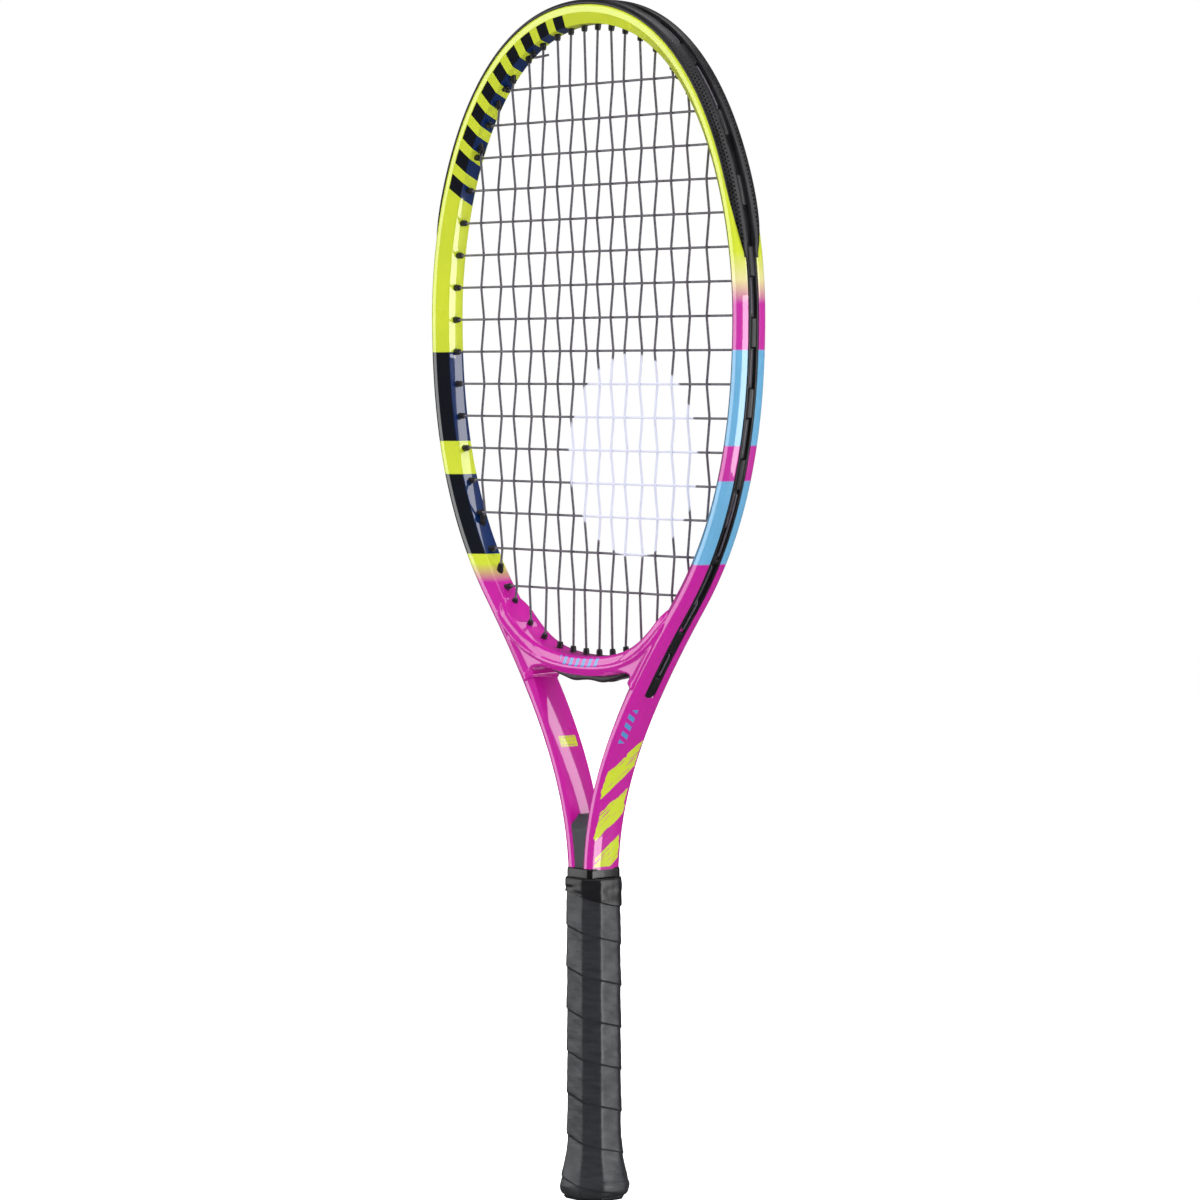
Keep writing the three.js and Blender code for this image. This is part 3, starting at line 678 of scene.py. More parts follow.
def bumper_surface(outer, depth, length):
    """Points and outward directions over a lobe, from the edge of the groove to the lobe's own edge."""
    flat = depth - BUMPER_ROUND - GROOVE_HALF
    way = np.linspace(0, length, 18)
    turn = np.maximum(0, way - flat) / BUMPER_ROUND
    directions = np.stack([np.cos(turn), np.sin(turn)], 1)
    middle = np.stack([np.full(18, outer - BUMPER_ROUND), GROOVE_HALF + np.minimum(way, flat)], 1)
    return middle + BUMPER_ROUND * directions, directions


def bumper_ring(s):
    outer, _, depth = sizes_at(s)[:3]
    tip = max(0.05, min(1.0, (BUMPER_END - abs(s)) / BUMPER_TAPER))
    width = math.sin(math.pi / 2 * tip**0.8)
    length = width * (depth - GROOVE_HALF + BUMPER_ROUND * (BUMPER_WRAP - 1)) + 0.15
    thick = BUMPER_THICK * (0.3 + 0.7 * min(1.0, tip * 5))
    surface, direction = bumper_surface(outer, depth, length)
    t = np.linspace(0, 1, len(surface))
    lift = thick * (1 - 0.45 * t**3) * np.clip((1 - t) * 7 + 0.12, 0, 1) ** 0.5
    under = surface + 0.03 * direction
    over_surface = surface + direction * lift[:, None]
    wall = 2.1
    top = outer + thick
    floor = outer - GROOVE_DEPTH + 0.9
    floor += (outer - 0.3 - floor) * covered(s)
    low = outer - GROOVE_DEPTH + 0.2
    insert = [(low, 0.4), (low, 3.3), (low + 0.3, 3.5), (outer, 3.52)]
    groove = [
        (top, wall + 0.75),
        (top - 0.12, wall + 0.3),
        (top - 0.5, wall + 0.05),
        (min(floor, top - 0.6) + 0.2, wall - 0.03),
        (floor, wall - 0.3),
        (floor, 0.4),
    ]
    section = both_halves(np.concatenate([insert, under, over_surface[::-1], groove]))
    return TUBE.place(s, section[:, 0], section[:, 1])


def build_bumper():
    tip_start = BUMPER_END - BUMPER_TAPER
    side = np.concatenate([np.linspace(0.6, tip_start, 340), np.linspace(tip_start + 0.4, BUMPER_END, 110)])
    stations = np.concatenate([-side[::-1], side])
    rings = np.array([bumper_ring(s) for s in stations])
    along = np.repeat(stations * MM, rings.shape[1])
    return sharpen(skin("bumper_skin", rings, {"along": along}), 50)


# ---------- strings ----------
def rod(name, points, radius=STRING_RADIUS, sides=10):
    """A round rod along a list of points."""
    points = np.asarray(points)
    ahead = np.vstack([points[1:], points[-1:]])
    behind = np.vstack([points[:1], points[:-1]])
    direction = ahead - behind
    direction /= np.linalg.norm(direction, axis=1)[:, None]
    side = np.array([0.0, 1.0, 0.0])
    rings = []
    for point, forward in zip(points, direction):
        side = side - forward * side.dot(forward)
        side /= np.linalg.norm(side)
        rings.append(point + circle(side, np.cross(forward, side), radius, sides))
    return skin(name, rings)


def rounded_path(points, bend=1.6, steps=4):
    """Replaces each corner of a path with a short curve."""
    path = [points[0]]
    for before, corner, after in zip(points, points[1:], points[2:]):
        back = before - corner
        ahead = after - corner
        back_length = np.linalg.norm(back)
        ahead_length = np.linalg.norm(ahead)
        reach = min(bend, 0.45 * back_length, 0.45 * ahead_length)
        first = corner + back / back_length * reach
        last = corner + ahead / ahead_length * reach
        for t in np.linspace(0, 1, steps):
            path.append((1 - t) ** 2 * first + 2 * (1 - t) * t * corner + t * t * last)
    path.append(points[-1])
    return path


def channel_run(start, end):
    """Points along the channel from one grommet to the next."""
    if start.throat is not None:
        return [YOKE.place((start.throat + end.throat) / 2, THROAT_LEVEL, 0)]
    count = max(2, round(abs(end.s - start.s) / 3))
    stations = np.linspace(start.s, end.s, count + 1)[1:-1]
    return [tube_point(s, channel_level, start.lane) for s in stations]


def over(i, k):
    """Which face a main string passes a cross string on: 1 at the rear, -1 at the front."""
    return 1 if (i + k) % 2 else -1


def main_path():
    """The whole route of the main string, as corner points."""
    turns = main_turns()
    path = [turns[0][0].mouth, turns[0][0].outer]
    for i, x in enumerate(ALL_X):
        first, last = turns[i][1], turns[i + 1][0]
        low, high = sorted((first.mouth[2], last.mouth[2]))
        rows = [(k, z) for k, z in enumerate(CROSS_Z) if low + 1 < z < high - 1]
        weave = [np.array([x, over(i, k) * MAIN_WAVE, z]) for k, z in rows]
        if first.mouth[2] < last.mouth[2]:
            weave.reverse()
        path += channel_run(*turns[i])
        path += [first.outer, first.mouth, *weave, last.mouth, last.outer]
    return [*path, *channel_run(*turns[-1]), MAIN_TIE.outer, MAIN_TIE.mouth]


def cross_path():
    """The whole route of the cross string, with the short free tail at its first knot."""
    turns = cross_turns()
    tail = CROSS_START_TIE.mouth + np.array([12.0, 0.3, 1.0])
    path = [tail, CROSS_START_TIE.mouth, CROSS_START_TIE.outer]
    for k, z in enumerate(CROSS_Z):
        first, last = turns[k][1], turns[k + 1][0]
        reach = abs(first.mouth[0])
        columns = [(i, x) for i, x in enumerate(ALL_X) if abs(x) < reach - 0.2]
        weave = [np.array([x, -over(i, k) * CROSS_WAVE, z]) for i, x in columns]
        if first.mouth[0] > last.mouth[0]:
            weave.reverse()
        path += channel_run(*turns[k])
        path += [first.outer, first.mouth, *weave, last.mouth, last.outer]
    return [*path, *channel_run(*turns[-1]), CROSS_END_TIE.outer, CROSS_END_TIE.mouth]


# ---------- handle ----------
def octagon_radius(angle):
    """Distance from the axis to the rounded octagon of the handle in each direction."""
    sharp = 34.0
    diagonal = (GRIP_X + GRIP_Y - GRIP_CHAMFER) / math.sqrt(2)
    total = 0.0
    for k in range(8):
        face = k * math.pi / 4
        distance = diagonal if k % 2 else (GRIP_X if k % 4 == 0 else GRIP_Y)
        total = total + (np.maximum(np.cos(angle - face), 0) / distance) ** sharp
    return total ** (-1 / sharp)


HANDLE_SIDES = 200
ROUND_HANDLE = np.linspace(0, 2 * math.pi, HANDLE_SIDES, endpoint=False)
OCTAGON = octagon_radius(ROUND_HANDLE)


def octagon_ring(z, grow):
    """One ring of points round the handle; z and grow may change round it."""
    radius = OCTAGON + grow
    z = np.broadcast_to(z, radius.shape)
    return np.stack([radius * np.cos(ROUND_HANDLE), radius * np.sin(ROUND_HANDLE), z], 1)


def flare(z):
    """How far the butt stands out beyond the straight handle at a height."""
    if z >= BUTT_STRAIGHT_Z:
        return 0.0
    if z <= BUTT_WIDEST_Z:
        return BUTT_GROW - 2.6 * (1 - z / BUTT_WIDEST_Z) ** 2.4
    t = (BUTT_STRAIGHT_Z - z) / (BUTT_STRAIGHT_Z - BUTT_WIDEST_Z)
    return BUTT_GROW * t * t * (1.6 - 0.6 * t)


def wrap_seam_phase(angle, z):
    """0 just above a seam of the spiral wrap, rising to 1 just below the next one."""
    first_seam = 135.3 + WRAP_PITCH * (math.radians(51) - angle) / (2 * math.pi)
    return np.mod((z - first_seam) / WRAP_PITCH, 1.0)


def ripple(angle, z):
    """Soft unevenness of a hand-wound wrap."""
    waves = np.sin(3 * angle + 0.21 * z) + np.sin(5 * angle - 0.37 * z + 1.3)
    waves = waves + 0.7 * np.sin(2 * angle + 0.83 * z + 0.5) + 0.6 * np.sin(7 * angle + 1.1 * z)
    return 0.045 * waves


def tube_of_rings(name, outer, inner, attributes=None):
    """A ring-shaped solid from its outer rings, upwards, and its inner rings, downwards."""
    rings = np.array(list(outer) + list(inner))
    rows, sides = rings.shape[:2]
    faces = ring_faces(rows, sides, caps=False)
    last = (rows - 1) * sides
    faces += [[last + j, last + (j + 1) % sides, (j + 1) % sides, j] for j in range(sides)]
    return mesh_object(name, rings, faces, attributes)


def build_grip():
    """The spiral wrap, with a step at each seam, a cuff at the bottom and a flared butt."""
    angle = ROUND_HANDLE
    end_edge = 7.6 + 3.0 * np.sin(angle + math.radians(115))
    outer = []
    phases = []
    for z in np.concatenate([np.linspace(GRIP_BOTTOM, 9, 22), np.linspace(9.5, GRIP_TOP, 330)]):
        phase = wrap_seam_phase(angle, z)
        lip = np.clip(phase / 0.03, 0, 1) ** 0.5
        step = WRAP_STEP * (1 - phase) ** 1.4 * lip
        cuff = 0.35 / (1 + np.exp(-np.clip((end_edge - z) / 0.22, -60, 60))) * (z < 14)
        rounding = -1.5 * max(0.0, (4.0 - z) / 2.6) ** 2
        outer.append(octagon_ring(z, flare(z) + step + ripple(angle, z) + cuff + rounding - 0.25))
        phases.append(phase)
    inner = [octagon_ring(z, flare(z) - 1.9) for z in (GRIP_TOP, 60, 27, 8, GRIP_BOTTOM)]
    phases += [np.full(HANDLE_SIDES, 0.5)] * len(inner)
    return tube_of_rings("grip_wrap", outer, inner, {"seam": np.array(phases)})


def build_finishing_tape():
    angle = ROUND_HANDLE
    lower = 159.8 + 4.2 * np.cos(angle - math.radians(231))
    outer = []
    for t in np.linspace(0, 1, 46):
        z = lower + (TAPE_TOP - lower) * t
        edge = np.clip(t / 0.03, 0, 1) ** 0.5
        shoulder = -0.9 * max(0.0, (t - 0.93) / 0.07) ** 2
        wave = 0.12 * np.sin(angle * 2 + 9 * t) + 0.08 * np.sin(5 * angle - 14 * t)
        outer.append(octagon_ring(z, 0.1 + 0.5 * edge + shoulder + wave))
    inner = [(TAPE_TOP - 0.2, -2.4), (TAPE_TOP - 1.2, -2.5), (168.0, -0.6), (lower, -0.5)]
    return tube_of_rings("grip_end_tape", outer, [octagon_ring(z, grow) for z, grow in inner])


def rounded_rectangle(half_x, half_y, corner, per_corner=7):
    points = []
    for k, (sx, sy) in enumerate([(1, 1), (-1, 1), (-1, -1), (1, -1)]):
        for turn in np.linspace(0, math.pi / 2, per_corner) + k * math.pi / 2:
            x = sx * (half_x - corner) + corner * math.cos(turn)
            y = sy * (half_y - corner) + corner * math.sin(turn)
            points.append((x, y))
    return np.array(points)


def evenly(outline, count):
    """The same closed outline with its points evenly spaced."""
    closed = np.vstack([outline, outline[:1]])
    length = lengths_along(closed)
    stations = np.linspace(0, length[-1], count, endpoint=False)
    return np.stack([np.interp(stations, length, closed[:, k]) for k in (0, 1)], 1)


def flat_ring(outline, z):
    return np.column_stack([outline, np.full(len(outline), z)])


def build_collar():
    low, high = COLLAR
    outer = []
    for t in np.linspace(0, 1, 9):
        z = low + (high - low) * t
        grow = 0.12 * math.sin(math.pi * t) - 0.25 * (abs(2 * t - 1) > 0.99)
        outer.append(flat_ring(rounded_rectangle(10.2 + grow, 10.85 + grow, 2.6), z))
    inner = [flat_ring(rounded_rectangle(9.7, 10.3, 2.3), z) for z in (high, low)]
    return tube_of_rings("collar_band", outer, inner)


def build_wedge():
    """A plug between the shafts; the top of its front and rear is hollowed out."""
    low, high = WEDGE
    half_y = 9.7
    rings = []
    for z in [*np.linspace(low, high - 9, 8), *np.linspace(high - 8.6, high, 26)]:
        half_x = tube_x(z) - 0.4
        points = evenly(rounded_rectangle(half_x, half_y, 0.6, 5), 120)
        across = np.clip(np.abs(points[:, 0]) / half_x, 0, 1)
        hollow_top = high - 8.5 + 5.5 * across**2
        hollow = 6.0 * smoothstep(z, hollow_top, high + 1.0) ** 0.8
        points[:, 1] -= np.sign(points[:, 1]) * hollow * (np.abs(points[:, 1]) / half_y) * (1 - across**6)
        rings.append(flat_ring(points, z))
    return sharpen(skin("shaft_wedge", rings), 50)


# ---------- materials ----------
class Shader:
    """A small helper that builds one node material; places and lengths in it are metres."""

    def __init__(self, name, settings):
        self.material = bpy.data.materials.new(name)
        self.material.use_nodes = True
        self.tree = self.material.node_tree
        self.shader = self.tree.nodes["Principled BSDF"]
        for socket, value in settings.items():
            self.shader.inputs[socket].default_value = value
        self.position = self.node("ShaderNodeTexCoord").outputs["Object"]

    def node(self, kind, **settings):
        made = self.tree.nodes.new(kind)
        for key, value in settings.items():
            setattr(made, key, value)
        return made

    def feed(self, socket, value):
        if isinstance(value, bpy.types.NodeSocket):
            self.tree.links.new(value, socket)
        else:
            socket.default_value = value

    def feed_all(self, made, values):
        """Feeds a node's first sockets in order and gives its first output."""
        for socket, value in zip(made.inputs, values):
            self.feed(socket, value)
        return made.outputs[0]

    def math(self, operation, *values):
        return self.feed_all(self.node("ShaderNodeMath", operation=operation), values)

    def plus(self, a, b):
        return self.math("ADD", a, b)

    def minus(self, a, b):
        return self.math("SUBTRACT", a, b)

    def times(self, *values):
        """The product of two or more values."""
        product = values[0]
        for value in values[1:]:
            product = self.math("MULTIPLY", product, value)
        return product

    def far(self, u, v):
        """Distance of a flat point from its origin."""
        return self.math("SQRT", self.plus(self.times(u, u), self.times(v, v)))

    def axes(self):
        made = self.node("ShaderNodeSeparateXYZ")
        self.feed(made.inputs[0], self.position)
        return made.outputs

    def vector(self, *axes):
        return self.feed_all(self.node("ShaderNodeCombineXYZ"), axes)

    def attribute(self, name):
        return self.node("ShaderNodeAttribute", attribute_name=name).outputs["Fac"]

    def noise(self, scale, detail=3.0, vector=None):
        made = self.node("ShaderNodeTexNoise")
        self.feed(made.inputs["Vector"], vector or self.position)
        made.inputs["Scale"].default_value = scale
        made.inputs["Detail"].default_value = detail
        made.inputs["Roughness"].default_value = 0.55
        return made.outputs["Fac"]

    def span(self, value, low, high, to_low=0.0, to_high=1.0):
        """Carries low to high over to another range, and stops at its ends."""
        return self.feed_all(self.node("ShaderNodeMapRange"), (value, low, high, to_low, to_high))

    def between(self, value, low, high, soft=0.0002):
        """1 where a value lies between two limits, with a thin soft edge."""
        rise = self.span(value, low - soft, low + soft)
        fall = self.span(value, high + soft, high - soft)
        return self.times(rise, fall)

    def stripes(self, place, pitch, start, end, soft):
        """1 on evenly spaced stripes; start, end and soft are shares of the pitch."""
        phase = self.math("FRACT", self.math("DIVIDE", place, pitch))
        return self.between(phase, start, end, soft)

    def mix(self, factor, a, b):
        made = self.node("ShaderNodeMix", data_type="RGBA")
        self.feed(made.inputs["Factor"], factor)
        self.feed(made.inputs[6], a)
        self.feed(made.inputs[7], b)
        return made.outputs[2]

    def ramp(self, value, stops):
        made = self.node("ShaderNodeValToRGB")
        elements = made.color_ramp.elements
        while len(elements) < len(stops):
            elements.new(0.5)
        for element, (z, colour) in zip(elements, stops):
            element.position = (z - BAND_LOW) / (BAND_HIGH - BAND_LOW)
            element.color = colour
        self.feed(made.inputs[0], value)
        return made.outputs[0]

    def finish(self, colour, roughness, height, distance, strength):
        """Connects the looks and gives the finished material; the last three are its bump."""
        made = self.node("ShaderNodeBump")
        made.inputs["Strength"].default_value = strength
        made.inputs["Distance"].default_value = distance
        self.feed(made.inputs["Height"], height)
        self.feed(self.shader.inputs["Normal"], made.outputs[0])
        self.feed(self.shader.inputs["Base Color"], colour)
        self.feed(self.shader.inputs["Roughness"], roughness)
        return self.material


def rgb(r, g, b):
    """A display colour from 0 to 255 as the linear colour that nodes use."""
    linear = [((c / 255 + 0.055) / 1.055) ** 2.4 if c > 10 else c / 255 / 12.92 for c in (r, g, b)]
    return (*linear, 1.0)


def grey(level):
    """A linear grey."""
    return (level, level, level, 1.0)


YELLOW = rgb(224, 238, 54)
CREAM = rgb(250, 240, 170)
# Near black: the navy paint as painted shade, on the faces other than the inner face.
NAVY_IN_PAINTED_SHADE = rgb(13, 17, 28)
NAVY = rgb(4, 42, 100)
SKY = rgb(116, 190, 236)
PINK = rgb(214, 48, 174)
MAGENTA = rgb(210, 24, 168)
BLUE = rgb(88, 158, 222)
WHITE = rgb(226, 228, 246)
PAINT = {"Specular IOR Level": 0.25, "Coat Weight": 1.0, "Coat Roughness": 0.02, "Coat IOR": 1.7}

# The bands by height in millimetres. A colour change within twice HARD is an edge, a longer one a fade.
BAND_LOW = 300.0
BAND_HIGH = 500.0
HARD = 0.15
NAVY_BANDS = ((340.0, 383.0), (401.0, 449.5))
LEFT_BANDS = [(325, MAGENTA), (335, YELLOW)]
RIGHT_BANDS = [
    (340 - HARD, MAGENTA),
    (340 + HARD, SKY),
    (383 - HARD, SKY),
    (383 + HARD, PINK),
    (401 - HARD, PINK),
    (401 + HARD, SKY),
    (449.5 - HARD, SKY),
    (449.5 + HARD, PINK),
    (473, PINK),
    (485, CREAM),
    (499, YELLOW),
]


def lacquer(sh, colour):
    """Gloss paint with faint clouding and a slightly uneven surface."""
    clouding = sh.span(sh.noise(24.0, 4.0), 0.35, 0.65, 0.0, 0.08)
    roughness = sh.span(sh.noise(35.0, 4.0), 0.3, 0.7, 0.26, 0.36)
    return sh.finish(sh.mix(clouding, colour, grey(0.0)), roughness, sh.noise(110.0, 2.0), 0.00002, 0.12)


def dark_marks(sh, left, z):
    """Dark bands on the left of the hoop, and slanted bars over the top left of its front. They are navy on
    the inner face and near black on the other faces, where the darker colour is painted shade.
    """
    girth = sh.attribute("girth")
    lean = sh.plus(sh.attribute("along"), sh.times(girth, 0.5))
    pitch = 0.0147
    bar = sh.stripes(lean, pitch, 0.14, 0.72, 0.006)
    across = sh.between(girth, -0.0118, 0.0046, 0.0001)
    bars = sh.times(bar, across, sh.between(lean, -11 * pitch, -pitch, 0.0001))
    bands = sh.math("MAXIMUM", *(sh.between(z, low * MM, high * MM, 0.0001) for low, high in NAVY_BANDS))
    # Painted shade: off the inner face the navy marks are coloured near black.
    inner_face = sh.between(girth, -0.0048, 0.0054)
    return sh.math("MAXIMUM", sh.times(bands, left), bars), sh.mix(inner_face, NAVY_IN_PAINTED_SHADE, NAVY)


def shaft_middle(sh, z):
    """Distance of a shaft's middle from the racket's centre plane, by height."""
    low, high = 165.0, 285.0
    reach = 60.0
    places = [(t, tube_x(low + (high - low) * t) / reach) for t in np.linspace(0, 1, 9)]
    made = sh.node("ShaderNodeFloatCurve")
    points = made.mapping.curves[0].points
    points[0].location = places[0]
    points[1].location = places[-1]
    for place in places[1:-1]:
        points.new(*place)
    made.mapping.update()
    sh.feed(made.inputs["Value"], sh.span(z, low * MM, high * MM))
    return sh.times(made.outputs[0], reach * MM)


def brushed_strokes(sh, y, z):
    """Slanted dry brush strokes high on a shaft, clear of the dashes."""
    slant = sh.plus(z, sh.times(y, -0.9))
    grain = sh.noise(1.0, 4.0, sh.vector(sh.times(slant, 90), sh.times(y, 60), 0.0))
    bristle = sh.noise(1.0, 3.0, sh.vector(sh.times(slant, 900), sh.times(y, 90), 3.0))
    wobble = sh.times(sh.minus(grain, 0.5), 0.010)
    stroke = sh.stripes(sh.plus(slant, wobble), 0.0245, 0.12, 0.68, 0.01)
    reach = sh.between(sh.plus(y, sh.times(wobble, 0.6)), -0.0082, 0.0082, 0.0001)
    field = sh.between(z, 0.1775, 0.2455)
    fray = sh.span(sh.plus(bristle, sh.times(grain, 0.5)), 0.60, 0.64)
    by_dashes = sh.times(sh.math("GREATER_THAN", z, 0.2365), sh.math("LESS_THAN", y, 0.0004))
    return sh.times(stroke, reach, field, fray, sh.minus(1.0, by_dashes))


def short_dashes(sh, y, z):
    """A column of small slanted dashes near the front edge of a shaft."""
    dash = sh.stripes(sh.plus(z, sh.times(y, 0.6)), 0.0046, 0.1, 0.6, 0.02)
    return sh.times(dash, sh.between(y, -0.0082, -0.0035), sh.between(z, 0.2445, 0.2625))


def add_label(sh, colour, side, y, z):
    """A small yellow label with rows of magenta specks."""
    row_pitch = 0.0019
    label = sh.times(side, sh.between(z, 0.2392, 0.2448), sh.between(y, -0.0052, 0.0062))
    row = sh.stripes(z, row_pitch, 0.25, 0.55, 0.05)
    grain = sh.noise(900.0, 0.0, sh.vector(0.0, y, sh.math("SNAP", z, row_pitch)))
    specks = sh.times(row, sh.math("GREATER_THAN", grain, 0.5), sh.between(y, -0.0045, 0.0055))
    return sh.mix(sh.times(specks, label, 0.6), sh.mix(label, colour, YELLOW), MAGENTA)


def make_paint():
    sh = Shader("frame_paint", PAINT)
    x, y, z = sh.axes()
    right = sh.math("GREATER_THAN", x, 0.0)
    left = sh.minus(1.0, right)
    outer_side = sh.math("GREATER_THAN", sh.math("ABSOLUTE", x), shaft_middle(sh, z))
    inner_side = sh.minus(1.0, outer_side)
    level = sh.span(z, BAND_LOW * MM, BAND_HIGH * MM)
    colour = sh.mix(right, sh.ramp(level, LEFT_BANDS), sh.ramp(level, RIGHT_BANDS))
    # The dark marks carry painted shade: near black off the inner face, navy on it.
    dark, navy_with_painted_shade = dark_marks(sh, left, z)
    colour = sh.mix(dark, colour, navy_with_painted_shade)
    colour = sh.mix(sh.times(brushed_strokes(sh, y, z), outer_side), colour, YELLOW)
    colour = sh.mix(sh.times(short_dashes(sh, y, z), outer_side, right), colour, BLUE)
    return lacquer(sh, add_label(sh, colour, sh.times(inner_side, left), y, z))


def make_yoke_paint():
    """Magenta, with a row of slanted blue bars on the front of the bridge."""
    sh = Shader("yoke_paint", PAINT)
    x, y, z = sh.axes()
    bar = sh.stripes(sh.plus(x, sh.times(z, -0.35)), 0.0052, 0.15, 0.62, 0.02)
    arch = sh.minus(z, sh.times(x, x, 4.2))
    row = sh.times(sh.between(x, -0.0165, 0.0165), sh.between(arch, 0.2832, 0.2876))
    front = sh.math("LESS_THAN", y, -0.007)
    return lacquer(sh, sh.mix(sh.times(bar, row, front), MAGENTA, BLUE))


def nylon_looks(sh):
    """Colour, roughness and grain of worn black nylon."""
    wear = sh.noise(60.0, 5.0)
    colour = sh.mix(sh.span(wear, 0.35, 0.75), rgb(26, 26, 28), rgb(42, 42, 46))
    return colour, sh.span(wear, 0.3, 0.7, 0.28, 0.42), sh.noise(700.0, 2.0)


def make_nylon():
    sh = Shader("grommet_nylon", {})
    colour, roughness, grain = nylon_looks(sh)
    return sh.finish(colour, roughness, sh.times(grain, 0.3), 0.00025, 0.6)


def make_guard_nylon():
    """The same nylon with staggered rows of small round dimples along both lobes; each dimple is sunk by the
    bump, made rough and painted near black as shade.
    """
    sh = Shader("guard_nylon", {})
    pitch, row_pitch = 0.0022, 0.0016
    _, y, z = sh.axes()
    across = sh.math("ABSOLUTE", y)
    row = sh.math("DIVIDE", across, row_pitch)
    shift = sh.times(sh.math("FLOOR", row), 0.5)
    place = sh.plus(sh.math("DIVIDE", sh.attribute("along"), pitch), shift)
    u = sh.minus(sh.math("FRACT", place), 0.5)
    v = sh.times(sh.minus(sh.math("FRACT", row), 0.5), row_pitch / pitch)
    dot = sh.span(sh.far(u, v), 0.22, 0.3, 1.0, 0.0)
    dot = sh.times(dot, sh.between(across, 0.0047, 0.0088), sh.span(z, 0.612, 0.585))
    colour, roughness, grain = nylon_looks(sh)
    height = sh.minus(sh.times(grain, 0.12), dot)
    # Painted shade: the inside of each dimple is coloured near black.
    colour = sh.mix(dot, colour, rgb(1, 1, 1))
    return sh.finish(colour, sh.math("MAXIMUM", roughness, dot), height, 0.0004, 0.8)


def make_string():
    """Dark grey string with one ragged round patch of pale ink on the bed."""
    sh = Shader("string", {"Coat Weight": 0.25, "Coat Roughness": 0.2})
    x, _, z = sh.axes()
    far = sh.far(sh.minus(x, 0.034), sh.minus(z, 0.395))
    ragged = sh.plus(far, sh.times(sh.noise(700.0, 2.0), 0.002))
    inked = sh.span(ragged, 0.0545, 0.0535)
    streaks = sh.noise(500.0, 3.0)
    dark = sh.mix(sh.span(streaks, 0.3, 0.7), rgb(78, 74, 83), rgb(108, 102, 114))
    return sh.finish(sh.mix(inked, dark, WHITE), sh.span(inked, 0.0, 1.0, 0.3, 0.65), streaks, 0.00004, 0.5)


def make_grip():
    """Satin synthetic leather with creases and pores, and painted shade: a dark line along each seam, and
    darker colour in the hollows of the creases.
    """
    sh = Shader("grip_wrap", {})
    x, y, z = sh.axes()
    creases = sh.noise(90.0, 5.0, sh.vector(x, y, sh.times(z, 5.0)))
    pores = sh.noise(1600.0, 2.0)
    seam = sh.attribute("seam")
    # Painted shade: the colour goes near black along each seam, where the wrap steps down.
    seam_painted_shade = sh.math("MAXIMUM", sh.span(seam, 0.004, 0.02, 1.0, 0.0), sh.span(seam, 0.985, 0.995))
    # Painted shade: the colour follows the crease bump and is darker in its hollows.
    colour = sh.mix(sh.span(creases, 0.3, 0.75), rgb(40, 41, 44), rgb(54, 55, 59))
    roughness = sh.span(sh.noise(90.0, 4.0), 0.3, 0.7, 0.27, 0.42)
    height = sh.plus(creases, sh.times(pores, 0.12))
    return sh.finish(sh.mix(seam_painted_shade, colour, rgb(16, 16, 18)), roughness, height, 0.0005, 0.35)


def make_plain(name, dark, light, roughness, scale, depth=0.0001, metallic=0.0):
    """A moulded or taped surface with fine grain and slight unevenness."""
    sh = Shader(name, {"Metallic": metallic})
    blotch = sh.noise(scale * 0.15, 4.0)
    colour = sh.mix(sh.span(blotch, 0.3, 0.7), dark, light)
    return sh.finish(colour, sh.span(blotch, 0.3, 0.7, *roughness), sh.noise(scale, 3.0), depth, 0.5)


# ---------- assembly ----------
def build_racket():
    """Builds every piece, each with its material and the CAD node that it stands for."""
    nylon = make_nylon()
    string = make_string()
    wedge = make_plain("wedge_plastic", rgb(58, 60, 64), rgb(68, 70, 75), (0.5, 0.62), 900.0)
    gloss = make_plain("gloss_tape", rgb(12, 12, 14), rgb(20, 20, 22), (0.2, 0.3), 260.0)
    tape = make_plain("finishing_tape", rgb(22, 22, 25), rgb(34, 34, 37), (0.28, 0.42), 300.0, 0.0003)
    guard_grommets = [g for g in HOOP_GROMMETS if abs(g.s) < BUMPER_END]
    right = [g for g in HOOP_GROMMETS if g.s >= BUMPER_END]
    left = [g for g in HOOP_GROMMETS if g.s <= -BUMPER_END]
    pieces = [
        (build_frame(), make_paint(), "frame_paint", "frame_tube"),
        (build_yoke(), make_yoke_paint(), "yoke_paint", "throat_yoke"),
        (build_bumper(), make_guard_nylon(), "guard_nylon", "bumper_guard"),
        (build_side_strip(1, "side_strip_right"), nylon, "grommet_nylon", "side_grommet_strip_right"),
        (build_side_strip(-1, "side_strip_left"), nylon, "grommet_nylon", "side_grommet_strip_left"),
        (build_throat_strip(), nylon, "grommet_nylon", "throat_grommet_strip"),
        (build_barrels("guard_barrels", guard_grommets), nylon, "guard_nylon", "bumper_guard"),
        (build_barrels("side_barrels_right", right), nylon, "grommet_nylon", "side_grommet_strip_right"),
        (build_barrels("side_barrels_left", left), nylon, "grommet_nylon", "side_grommet_strip_left"),
        (build_barrels("throat_barrels", THROAT_GROMMETS), nylon, "grommet_nylon", "throat_grommet_strip"),
        (rod("main_string_run", rounded_path(main_path())), string, "string", "main_string"),
        (rod("cross_string_run", rounded_path(cross_path())), string, "string", "cross_string"),
        (build_wedge(), wedge, "wedge_plastic", "throat_wedge"),
        (build_collar(), gloss, "gloss_tape", "collar_ring"),
        (build_finishing_tape(), tape, "finishing_tape", "finishing_tape"),
        (build_grip(), make_grip(), "grip_wrap", "base_grip"),
    ]
    for obj, material, slot, node in pieces:
        obj.data.materials.append(material)
        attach(obj, BODY)
        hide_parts(node)


